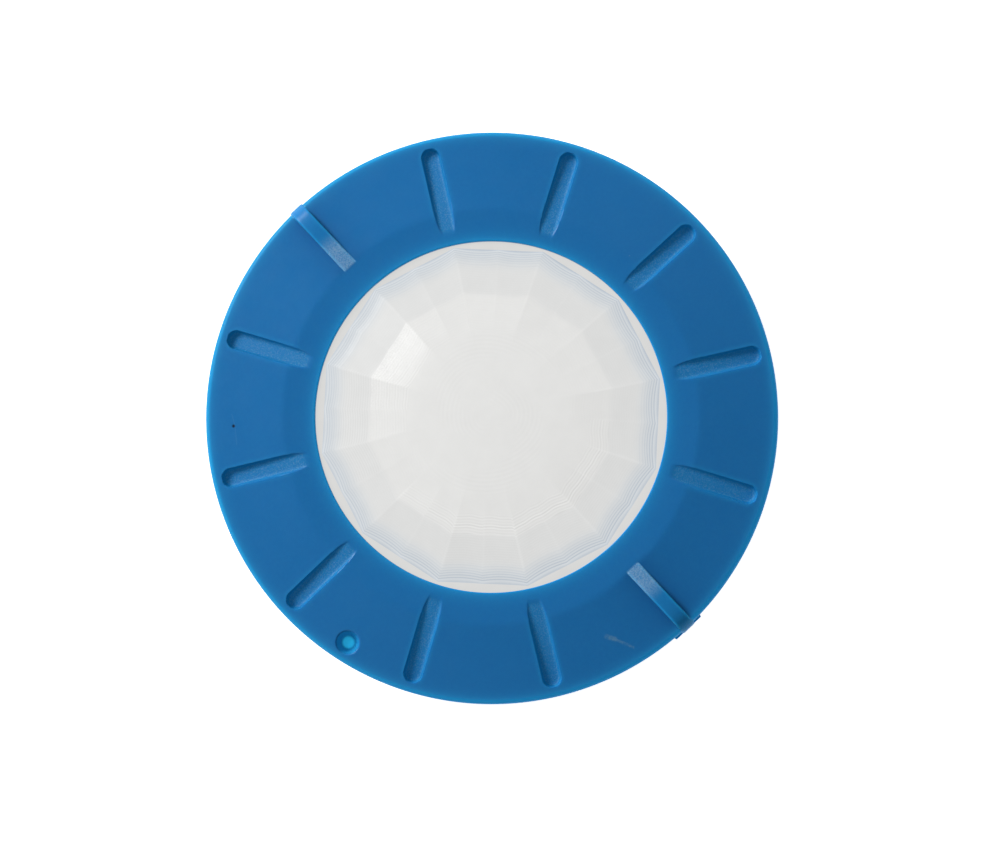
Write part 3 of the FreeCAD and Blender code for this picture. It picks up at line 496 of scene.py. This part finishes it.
    # a sharp foot: the last polygon row is doubled so that its dark line doesn't spread over the ledge
    last = P[-1].copy()
    last[:, 2] -= 0.01
    put(last, **ledge)
    for r, z in ((STEP_R - 0.25, STEP_Z), (STEP_R - 0.07, STEP_Z - 0.07), (STEP_R, STEP_Z - 0.25), (STEP_R, FLANGE_Z1 + 0.1), (STEP_R + 0.1, FLANGE_Z1), (65.0, FLANGE_Z1)):
        circle(r, z)
    for r, z in ((69.0, FLANGE_Z1), (FLANGE_R - 0.4, FLANGE_Z1), (FLANGE_R - 0.12, FLANGE_Z1 - 0.12), (FLANGE_R, FLANGE_Z1 - 0.4), (FLANGE_R, FLANGE_Z0 + 0.4), (FLANGE_R - 0.12, FLANGE_Z0 + 0.12), (FLANGE_R - 0.4, FLANGE_Z0), (69.0, FLANGE_Z0)):
        notch(r, z)
    circle(64.0, FLANGE_Z0)
    circle(58.2, FLANGE_Z0)
    li = LEVELS_IN
    for (ra, za), (rb, zb), n in zip([(57.5, FLANGE_Z0)] + li[:-1], li, (3, 3, 3, 3, 8, 10, 8, 6)):
        for t in np.linspace(0, 1, n, endpoint=False):
            rc, z = ra + (rb - ra) * t, za + (zb - za) * t
            rho = poly_radius(rc, frac, 0.0, 0.0)
            put(np.stack([rho * ct, rho * st, np.full(nc, z)], -1), **ledge)
    P = np.array(P)
    nr = P.shape[0]
    verts = np.concatenate([P.reshape(-1, 3), [[0, 0, 60.0], [0, 0, 57.2]]]) / 1000.0
    idx = np.arange(nr * nc).reshape(nr, nc)
    c1 = (np.arange(nc) + 1) % nc
    quads = np.stack([idx[:-1], idx[1:], idx[1:][:, c1], idx[:-1][:, c1]], -1).reshape(-1, 4).tolist()
    tip0, tip1 = nr * nc, nr * nc + 1
    tris = [(tip0, int(idx[0][i]), int(idx[0][c1[i]])) for i in range(nc)] + [(tip1, int(idx[-1][c1[i]]), int(idx[-1][i])) for i in range(nc)]
    at = {}
    for k, v in A.items():
        v = np.array(v)
        at[k] = np.concatenate([v.ravel(), [v[0].mean(), v[-1].mean()]])
    return plain_mesh("lens_moulding", verts, quads + tris, at, 35)


# ------------------------------------------------------------------ material helpers
def new_mat(name):
    m = bpy.data.materials.new(name)
    m.use_nodes = True
    nt = m.node_tree
    return m, nt, nt.nodes["Principled BSDF"]


def node(nt, kind, **kw):
    n = nt.nodes.new(kind)
    for k, v in kw.items():
        setattr(n, k, v)
    return n


def link(nt, a, b):
    nt.links.new(a, b)


def obj_coord(nt):
    return node(nt, "ShaderNodeTexCoord").outputs["Object"]


def noise(nt, vec, scale, detail=2.0, rough=0.5, out="Fac"):
    n = node(nt, "ShaderNodeTexNoise")
    n.inputs["Scale"].default_value = scale
    n.inputs["Detail"].default_value = detail
    n.inputs["Roughness"].default_value = rough
    link(nt, vec, n.inputs["Vector"])
    return n.outputs[out]


def mrange(nt, val, a, b, c, d, smoothit=False):
    n = node(nt, "ShaderNodeMapRange")
    if smoothit:
        n.interpolation_type = "SMOOTHSTEP"
    for i, v in zip(("From Min", "From Max", "To Min", "To Max"), (a, b, c, d)):
        n.inputs[i].default_value = v
    link(nt, val, n.inputs["Value"])
    return n.outputs["Result"]


def math_node(nt, op, a, b=None):
    n = node(nt, "ShaderNodeMath", operation=op)
    for i, v in enumerate((a, b)):
        if v is None:
            continue
        if isinstance(v, (int, float)):
            n.inputs[i].default_value = v
        else:
            link(nt, v, n.inputs[i])
    return n.outputs[0]


def mix_col(nt, fac, a, b, blend="MIX"):
    n = node(nt, "ShaderNodeMix", data_type="RGBA", blend_type=blend)
    for s, v in ((n.inputs[0], fac), (n.inputs[6], a), (n.inputs[7], b)):
        if isinstance(v, (int, float)):
            s.default_value = v
        elif isinstance(v, (tuple, list)):
            s.default_value = (*v, 1.0)
        else:
            link(nt, v, s)
    return n.outputs[2]


def attr(nt, name):
    return node(nt, "ShaderNodeAttribute", attribute_name=name).outputs["Fac"]


def bump(nt, height, strength, distance, normal=None):
    n = node(nt, "ShaderNodeBump")
    n.inputs["Strength"].default_value = strength
    n.inputs["Distance"].default_value = distance
    link(nt, height, n.inputs["Height"])
    if normal is not None:
        link(nt, normal, n.inputs["Normal"])
    return n.outputs["Normal"]


def srgb(r, g, b):
    def f(c):
        c /= 255.0
        return c / 12.92 if c <= 0.04045 else ((c + 0.055) / 1.055) ** 2.4
    return (f(r), f(g), f(b))


def set_in(bsdf, **kw):
    for k, v in kw.items():
        s = bsdf.inputs[k.replace("_", " ")]
        s.default_value = (*v, 1.0) if isinstance(v, tuple) and len(v) == 3 and s.type == "RGBA" else v


# ------------------------------------------------------------------ materials of the two visible mouldings
def ring_material():
    m, nt, b = new_mat("blue_moulded_plastic")
    co = obj_coord(nt)
    base = mix_col(nt, noise(nt, co, 22.0, 3.0), (0.0095, 0.132, 0.352), (0.0115, 0.146, 0.382))
    base = mix_col(nt, mrange(nt, noise(nt, co, 900.0, 2.0), 0.35, 0.7, 0.0, 0.35), base, (0.012, 0.156, 0.398))
    # painted glow: where glow and rimglow are set the base turns lighter and an emission is added
    glow = math_node(nt, "MINIMUM", attr(nt, "glow"), 1.0)
    # painted shade: darker base beside the ribs and on the recess wall
    base = mix_col(nt, math_node(nt, "MULTIPLY", attr(nt, "shade"), 0.42), base, (0.003, 0.055, 0.190))
    base = mix_col(nt, math_node(nt, "MULTIPLY", glow, 0.3), base, (0.018, 0.190, 0.430))
    painted_through_glow = mix_col(nt, glow, (0.0, 0.0, 0.0), (0.0, 0.080, 0.130))
    painted_through_glow = mix_col(nt, attr(nt, "rimglow"), painted_through_glow, (0.004, 0.090, 0.230))
    base = mix_col(nt, math_node(nt, "MULTIPLY", attr(nt, "rimglow"), 0.9), base, (0.014, 0.184, 0.335))
    # painted glow: a faint blue emission on the groove floors lifts their shaded side, except in the round recess
    painted_through_glow = mix_col(nt, math_node(nt, "MULTIPLY", attr(nt, "groove"), math_node(nt, "SUBTRACT", 1.0, attr(nt, "painted_thin_glow"))), painted_through_glow, (0.0, 0.034, 0.088))
    groove = attr(nt, "groove")
    # painted shade: the groove floors get a darker base
    base = mix_col(nt, math_node(nt, "MULTIPLY", groove, 0.7), base, (0.0060, 0.122, 0.292))
    grain = attr(nt, "grain")
    speck = noise(nt, co, 1900.0, 3.0, 0.75)
    pale = math_node(nt, "MULTIPLY", grain, mrange(nt, speck, 0.47, 0.64, 0.10, 1.0))
    base = mix_col(nt, math_node(nt, "MULTIPLY", pale, 0.60), base, (0.085, 0.205, 0.360))
    worn = attr(nt, "worn")
    chalky = math_node(nt, "MULTIPLY", worn, mrange(nt, speck, 0.36, 0.62, 0.25, 1.0))
    base = mix_col(nt, math_node(nt, "MULTIPLY", chalky, 0.75), base, (0.215, 0.350, 0.510))
    # painted glow: the floor of the round recess gets a light cyan base and an emission, standing in for light through
    # its thin bottom
    painted_thin_glow = attr(nt, "painted_thin_glow")
    base = mix_col(nt, painted_thin_glow, base, (0.02, 0.30, 0.55))
    link(nt, mix_col(nt, painted_thin_glow, painted_through_glow, (0.012, 0.240, 0.395)), b.inputs["Emission Color"])
    b.inputs["Emission Strength"].default_value = 1.0
    link(nt, mrange(nt, attr(nt, "edge"), 0.0, 1.0, 0.22, 0.03), b.inputs["Specular IOR Level"])
    # scuffs and specks of a used moulding
    def spot(x, y, r0, r1):
        d = node(nt, "ShaderNodeVectorMath", operation="DISTANCE")
        link(nt, co, d.inputs[0])
        d.inputs[1].default_value = (x / 1000, y / 1000, float(top_z(np.array(math.hypot(x, y)))) / 1000)
        return mrange(nt, d.outputs["Value"], r0 / 1000, r1 / 1000, 1.0, 0.0)
    def at(r, a):
        return r * math.cos(math.radians(a)), r * math.sin(math.radians(a))
    dark = spot(*at(90.0, 138.9), 0.35, 0.75)
    base = mix_col(nt, dark, base, (0.004, 0.012, 0.03))
    def streak(p, q, wide, soft):
        """1 along the line from p to q, falling to 0 at its sides."""
        (ax, ay), (bx, by) = at(*p), at(*q)
        az, bz = float(top_z(np.array(p[0]))), float(top_z(np.array(q[0])))
        ba = Vector((bx - ax, by - ay, bz - az)) / 1000
        pa = node(nt, "ShaderNodeVectorMath", operation="SUBTRACT")
        link(nt, co, pa.inputs[0])
        pa.inputs[1].default_value = (ax / 1000, ay / 1000, az / 1000)
        dot = node(nt, "ShaderNodeVectorMath", operation="DOT_PRODUCT")
        link(nt, pa.outputs[0], dot.inputs[0])
        dot.inputs[1].default_value = ba
        h = mrange(nt, dot.outputs["Value"], 0.0, ba.length_squared, 0.0, 1.0)
        sc = node(nt, "ShaderNodeVectorMath", operation="SCALE")
        sc.inputs[0].default_value = ba
        link(nt, h, sc.inputs["Scale"])
        d = node(nt, "ShaderNodeVectorMath", operation="DISTANCE")
        link(nt, pa.outputs[0], d.inputs[0])
        link(nt, sc.outputs[0], d.inputs[1])
        return mrange(nt, d.outputs["Value"], wide / 1000, (wide + soft) / 1000, 1.0, 0.0, True)
    scuff = math_node(nt, "MAXIMUM", streak((86.3, 254.6), (88.6, 256.1), 0.25, 0.95), math_node(nt, "MULTIPLY", streak((88.3, 255.9), (94.2, 258.6), 0.05, 0.75), 0.8))
    scuff = math_node(nt, "MULTIPLY", scuff, mrange(nt, noise(nt, co, 1000.0, 6.0, 0.8), 0.40, 0.62, 0.12, 0.75))
    base = mix_col(nt, scuff, base, (0.105, 0.24, 0.36))
    scratch = math_node(nt, "MAXIMUM", streak((90.6, 136.3), (89.6, 138.5), 0.02, 0.28), streak((89.6, 138.5), (89.3, 143.1), 0.02, 0.28))
    base = mix_col(nt, math_node(nt, "MULTIPLY", scratch, 0.16), base, (0.10, 0.26, 0.45))
    vor = node(nt, "ShaderNodeTexVoronoi")
    vor.inputs["Scale"].default_value = 75.0
    link(nt, co, vor.inputs["Vector"])
    fleck = mrange(nt, vor.outputs["Distance"], 0.012, 0.03, 0.75, 0.0)
    fleck = math_node(nt, "MULTIPLY", fleck, mrange(nt, noise(nt, co, 60.0, 1.0), 0.60, 0.64, 0.0, 1.0))
    base = mix_col(nt, fleck, base, (0.45, 0.58, 0.68))
    link(nt, base, b.inputs["Base Color"])
    grain = math_node(nt, "MAXIMUM", grain, worn)
    rough = math_node(nt, "ADD", mrange(nt, noise(nt, co, 160.0, 4.0), 0.3, 0.7, 0.29, 0.37), math_node(nt, "MULTIPLY", grain, 0.20))
    rough = math_node(nt, "ADD", rough, math_node(nt, "MULTIPLY", scuff, 0.3))
    link(nt, rough, b.inputs["Roughness"])
    fine = math_node(nt, "MULTIPLY", noise(nt, co, 1400.0, 3.0, 0.6), 0.12)
    coarse = math_node(nt, "MULTIPLY", math_node(nt, "MULTIPLY", noise(nt, co, 2300.0, 2.0, 0.6), grain), 1.0)
    n1 = bump(nt, math_node(nt, "ADD", fine, coarse), 0.55, 0.00012)
    n2 = bump(nt, noise(nt, co, 45.0, 2.0), 0.12, 0.0006, n1)
    link(nt, n2, b.inputs["Normal"])
    set_in(b, Subsurface_Weight=0.32, Subsurface_Radius=(0.25, 0.75, 1.4), Subsurface_Scale=0.0022, IOR=1.48)
    return m


def lens_material():
    m, nt, b = new_mat("milky_lens_plastic")
    co = obj_coord(nt)
    cloud = noise(nt, co, 150.0, 4.0, 0.6)
    # painted reflection: towards the rim the base and emission colours turn bluish, standing in for the blue ring
    # reflected in the lens's steep sides
    blue = attr(nt, "blue")
    # body colour: only a little of the light leaves again where it came in
    tint = mix_col(nt, blue, (1.0, 1.0, 0.985), (0.93, 1.0, 1.06))
    skin = node(nt, "ShaderNodeVectorMath", operation="SCALE")
    link(nt, tint, skin.inputs[0])
    link(nt, math_node(nt, "MULTIPLY", attr(nt, "skin"), mrange(nt, noise(nt, co, 30.0, 3.0), 0.3, 0.7, 0.96, 1.04)), skin.inputs["Scale"])
    link(nt, skin.outputs["Vector"], b.inputs["Base Color"])
    # painted glow: an emission stands in for light that has scattered about inside the milky plastic and leaves it
    # evenly; painted shading of the tool marks and painted highlights on the ridges are added to it
    even = math_node(nt, "ADD", attr(nt, "inner"), math_node(nt, "MULTIPLY", attr(nt, "mark"), 0.050))
    even = math_node(nt, "ADD", even, mrange(nt, cloud, 0.3, 0.7, -0.010, 0.010))
    # painted glint speckle on the half sides facing the key light
    painted_glint_speckle = mrange(nt, noise(nt, co, 1700.0, 3.0, 0.7), 0.40, 0.66, -0.01, 0.08)
    even = math_node(nt, "ADD", even, math_node(nt, "MULTIPLY", attr(nt, "spark"), painted_glint_speckle))
    glow = node(nt, "ShaderNodeVectorMath", operation="SCALE")
    # painted dark lines: the emission turns darker and bluish along the steps
    link(nt, mix_col(nt, attr(nt, "line"), tint, (0.66, 0.745, 0.845)), glow.inputs[0])
    link(nt, even, glow.inputs["Scale"])
    link(nt, glow.outputs["Vector"], b.inputs["Emission Color"])
    link(nt, mrange(nt, noise(nt, co, 220.0, 3.0), 0.3, 0.7, 0.26, 0.38), b.inputs["Roughness"])
    n1 = bump(nt, noise(nt, co, 700.0, 3.0, 0.6), 0.10, 0.00008)
    link(nt, n1, b.inputs["Normal"])
    set_in(b, Emission_Strength=1.0, IOR=1.49, Specular_IOR_Level=0.06)
    return m


# ------------------------------------------------------------------ materials of the carried-over pieces
def moulded(name, c0, c1, rough=(0.42, 0.55), grain=1100.0, depth=0.00006, sss=0.0, metallic=0.0):
    m, nt, b = new_mat(name)
    co = obj_coord(nt)
    base = mix_col(nt, noise(nt, co, 35.0, 4.0), c0, c1)
    base = mix_col(nt, mrange(nt, noise(nt, co, 1400.0, 2.0), 0.4, 0.75, 0.0, 0.5), base, tuple(min(1.0, x * 1.08) for x in c1))
    link(nt, base, b.inputs["Base Color"])
    link(nt, mrange(nt, noise(nt, co, 180.0, 4.0), 0.3, 0.7, *rough), b.inputs["Roughness"])
    link(nt, bump(nt, noise(nt, co, grain, 3.0, 0.6), 0.4, depth), b.inputs["Normal"])
    set_in(b, Metallic=metallic)
    if sss:
        set_in(b, Subsurface_Weight=sss, Subsurface_Radius=(1.0, 1.0, 1.0), Subsurface_Scale=0.0015)
    return m


def rubber(name, c0, c1, depth=0.0001):
    m, nt, b = new_mat(name)
    co = obj_coord(nt)
    base = mix_col(nt, noise(nt, co, 60.0, 4.0, 0.6), c0, c1)
    vor = node(nt, "ShaderNodeTexVoronoi")
    vor.inputs["Scale"].default_value = 900.0
    link(nt, co, vor.inputs["Vector"])
    link(nt, base, b.inputs["Base Color"])
    link(nt, mrange(nt, noise(nt, co, 300.0, 3.0), 0.3, 0.7, 0.62, 0.82), b.inputs["Roughness"])
    n1 = bump(nt, vor.outputs["Distance"], 0.35, depth)
    link(nt, bump(nt, noise(nt, co, 1800.0, 3.0), 0.3, 0.00005, n1), b.inputs["Normal"])
    return m


def turned_metal(name, c0, c1, rough, stretch=(1.0, 1.0, 12.0), scale=900.0, depth=0.00002):
    """Metal with fine drawn or rolled lines."""
    m, nt, b = new_mat(name)
    co = obj_coord(nt)
    mp = node(nt, "ShaderNodeMapping")
    mp.inputs["Scale"].default_value = stretch
    link(nt, co, mp.inputs["Vector"])
    lines = noise(nt, mp.outputs["Vector"], scale, 3.0, 0.6)
    link(nt, mix_col(nt, noise(nt, co, 120.0, 4.0), c0, c1), b.inputs["Base Color"])
    link(nt, mrange(nt, lines, 0.3, 0.7, *rough), b.inputs["Roughness"])
    link(nt, bump(nt, lines, 0.35, depth), b.inputs["Normal"])
    set_in(b, Metallic=1.0)
    return m


def board_material(name, c0, c1):
    """Lacquered circuit board: weave under the lacquer, and tracks as slightly raised lines."""
    m, nt, b = new_mat(name)
    co = obj_coord(nt)
    br = node(nt, "ShaderNodeTexBrick")
    br.inputs["Scale"].default_value = 160.0
    br.inputs["Mortar Size"].default_value = 0.06
    link(nt, co, br.inputs["Vector"])
    tracks = br.outputs["Fac"]
    base = mix_col(nt, noise(nt, co, 700.0, 2.0), c0, c1)
    base = mix_col(nt, math_node(nt, "MULTIPLY", tracks, 0.35), base, tuple(min(1, x * 1.5 + 0.01) for x in c1))
    link(nt, base, b.inputs["Base Color"])
    link(nt, mrange(nt, noise(nt, co, 400.0, 2.0), 0.3, 0.7, 0.25, 0.36), b.inputs["Roughness"])
    link(nt, bump(nt, tracks, 0.3, 0.00004), b.inputs["Normal"])
    return m


def copper_material():
    m, nt, b = new_mat("enamelled_wire")
    co = obj_coord(nt)
    wv = node(nt, "ShaderNodeTexWave", wave_type="RINGS", rings_direction="Z")
    wv.inputs["Scale"].default_value = 300.0
    link(nt, co, wv.inputs["Vector"])
    base = mix_col(nt, wv.outputs["Fac"], (0.24, 0.062, 0.018), (0.50, 0.165, 0.055))
    link(nt, mix_col(nt, mrange(nt, noise(nt, co, 500.0, 2.0), 0.3, 0.7, 0.0, 0.3), base, (0.42, 0.12, 0.035)), b.inputs["Base Color"])
    link(nt, bump(nt, wv.outputs["Fac"], 0.6, 0.0002), b.inputs["Normal"])
    set_in(b, Metallic=0.75, Roughness=0.28)
    return m


MATS = {
    "lens_gasket": moulded("silicone_seal", (0.56, 0.57, 0.57), (0.62, 0.63, 0.63), (0.45, 0.6), sss=0.15),
    "slip_washer": moulded("nylon_washer", (0.66, 0.65, 0.60), (0.73, 0.72, 0.68), (0.45, 0.6), sss=0.1),
    "housing": moulded("housing_plastic", (0.52, 0.545, 0.56), (0.59, 0.61, 0.62), (0.40, 0.52), 900.0, 0.00008, 0.06),
    "rear_cover": moulded("cover_plastic", (0.47, 0.495, 0.51), (0.54, 0.56, 0.57), (0.44, 0.58), 700.0, 0.00012, 0.05),
    "cover_seal": rubber("nitrile_ring", (0.012, 0.012, 0.013), (0.022, 0.022, 0.023)),
    "wall_pad": rubber("foam_rubber_pad", (0.020, 0.021, 0.023), (0.038, 0.040, 0.042), 0.00022),
    "lead_grommet": rubber("grommet_rubber", (0.014, 0.014, 0.015), (0.026, 0.026, 0.026)),
    "cover_screws": turned_metal("stainless_screws", (0.52, 0.52, 0.51), (0.62, 0.62, 0.60), (0.22, 0.36)),
    "keeper_screws": turned_metal("stainless_small", (0.52, 0.52, 0.51), (0.60, 0.60, 0.59), (0.22, 0.36)),
    "magnets": turned_metal("nickel_plating", (0.60, 0.585, 0.55), (0.66, 0.645, 0.61), (0.12, 0.22), (1, 1, 1), 300.0),
    "magnet_keeper": turned_metal("zinc_plated_steel", (0.44, 0.46, 0.48), (0.54, 0.56, 0.57), (0.30, 0.44), (1, 8, 1), 400.0),
    "coil_former": moulded("glass_filled_nylon", (0.024, 0.024, 0.026), (0.042, 0.042, 0.045), (0.5, 0.65)),
    "receiver_coil": copper_material(),
    "ferrite_disc": moulded("sintered_ferrite", (0.026, 0.026, 0.029), (0.045, 0.044, 0.047), (0.45, 0.6), 2000.0, 0.00008),
    "heat_spreader": turned_metal("rolled_aluminium", (0.58, 0.59, 0.60), (0.67, 0.68, 0.69), (0.26, 0.40), (1, 14, 1), 350.0),
    "thermal_pad": moulded("gap_filler", (0.28, 0.40, 0.48), (0.36, 0.48, 0.55), (0.6, 0.75)),
    "led_board": board_material("white_solder_mask", (0.70, 0.70, 0.68), (0.78, 0.78, 0.76)),
    "led_chips": moulded("phosphor_and_case", (0.72, 0.50, 0.06), (0.82, 0.62, 0.11), (0.25, 0.35), sss=0.2),
    "reflector": moulded("white_reflector_plastic", (0.80, 0.80, 0.79), (0.86, 0.86, 0.85), (0.28, 0.38), sss=0.1),
    "driver_board": board_material("green_solder_mask", (0.008, 0.070, 0.028), (0.012, 0.100, 0.040)),
    "driver_capacitors": turned_metal("capacitor_sleeve", (0.42, 0.43, 0.44), (0.52, 0.53, 0.54), (0.24, 0.34)),
    "driver_inductor": moulded("inductor_ferrite", (0.03, 0.03, 0.032), (0.055, 0.054, 0.056), (0.45, 0.6)),
    "driver_chips": moulded("chip_epoxy", (0.010, 0.010, 0.011), (0.020, 0.020, 0.021), (0.5, 0.65)),
    "board_spacers": turned_metal("brass_spacers", (0.58, 0.40, 0.13), (0.68, 0.48, 0.17), (0.22, 0.34)),
    "coil_leads": moulded("red_insulation", (0.36, 0.016, 0.014), (0.46, 0.024, 0.020), (0.35, 0.45)),
    "led_leads": moulded("red_insulation_b", (0.36, 0.016, 0.014), (0.46, 0.024, 0.020), (0.35, 0.45)),
}
for twin, of in (("spreader_screws", "keeper_screws"), ("reflector_screws", "keeper_screws"), ("driver_screws", "keeper_screws")):
    MATS[twin] = MATS[of]

ring = build_ring()
ring.data.materials.clear()
ring.data.materials.append(ring_material())
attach(ring, "ring")
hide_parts("lens_ring")

lens = build_lens()
lens.data.materials.append(lens_material())
lens.visible_shadow = False      # milky plastic lets light through, so it throws no shadow on itself
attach(lens, "lens")
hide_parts("lens")

for name, ob in NODES.items():
    if name in MATS:
        if len(ob.material_slots) == 0:
            ob.data.materials.append(MATS[name])
        for s in ob.material_slots:
            s.material = MATS[name]

# ------------------------------------------------------------------ floor, light, camera
me = bpy.data.meshes.new("floor")
S = 6.0
me.from_pydata([(-S, -S, -0.0002), (S, -S, -0.0002), (S, S, -0.0002), (-S, S, -0.0002)], [], [(0, 1, 2, 3)])
floor = bpy.data.objects.new("floor", me)
scene.collection.objects.link(floor)
m, nt, b = new_mat("pale_floor")
fc = obj_coord(nt)
link(nt, mix_col(nt, noise(nt, fc, 3.0, 2.0), (0.94, 0.94, 0.94), (0.96, 0.96, 0.96)), b.inputs["Base Color"])
set_in(b, Roughness=0.9, Specular_IOR_Level=0.1, Emission_Color=(1.0, 1.0, 1.0), Emission_Strength=0.86)
me.materials.append(m)

world = bpy.data.worlds.new("studio")
scene.world = world
world.use_nodes = True
bg = world.node_tree.nodes["Background"]
bg.inputs["Color"].default_value = (0.93, 0.96, 1.0, 1.0)
bg.inputs["Strength"].default_value = 0.13

PHOTO_TURN = 43.2        # picture angle minus model angle, degrees


def area(name, photo_az, elev, dist, size, power, color=(1, 1, 1)):
    a, e = math.radians(photo_az - PHOTO_TURN), math.radians(elev)
    L = bpy.data.lights.new(name, "AREA")
    L.shape = "DISK"
    L.size = size
    L.energy = power
    L.color = color
    ob = bpy.data.objects.new(name, L)
    scene.collection.objects.link(ob)
    d = Vector((math.cos(a) * math.cos(e), math.sin(a) * math.cos(e), math.sin(e)))
    ob.location = d * dist
    ob.rotation_mode = "QUATERNION"
    ob.rotation_quaternion = d.to_track_quat("Z", "Y")
    return ob


area("key", 146, 30.5, 4.4, 2.2, 284.0)
area("fill_left", 235, 45, 1.5, 1.0, 2.2)
area("fill_right", 55, 45, 1.5, 1.0, 2.2)

cam_data = bpy.data.cameras.new("camera")
cam = bpy.data.objects.new("camera", cam_data)
scene.collection.objects.link(cam)
scene.camera = cam
DIST, LEAN_UP, LEAN_RIGHT = 1.10, 3.0, 2.0
up_a = math.radians(90.0 - PHOTO_TURN)
up = Vector((math.cos(up_a), math.sin(up_a), 0))
right = Vector((math.sin(up_a), -math.cos(up_a), 0))
PX = 0.2 / (2 * 285.99)           # metres for one picture pixel at the rim
centre = Vector((0, 0, 0.0335))
aim = centre + right * (500 - 491.6 + 0.24) * PX - up * (421.5 - 417.85 + 0.57) * PX
back = (Vector((0, 0, 1)) - up * math.tan(math.radians(LEAN_UP)) + right * math.tan(math.radians(LEAN_RIGHT))).normalized()
cam.location = aim + back * DIST
cam.rotation_mode = "QUATERNION"
zc = back
xc = (right - back * right.dot(back)).normalized()
yc = zc.cross(xc)
from mathutils import Matrix
cam.rotation_quaternion = Matrix((xc, yc, zc)).transposed().to_quaternion()
cam_data.sensor_width = 36.0
cam_data.lens = 36.0 * DIST / (1000 * PX)
cam_data.clip_start, cam_data.clip_end = 0.01, 50.0

scene.view_settings.view_transform = "Standard"
scene.view_settings.look = "None"
scene.view_settings.exposure = 0.0
scene.view_settings.gamma = 1.0
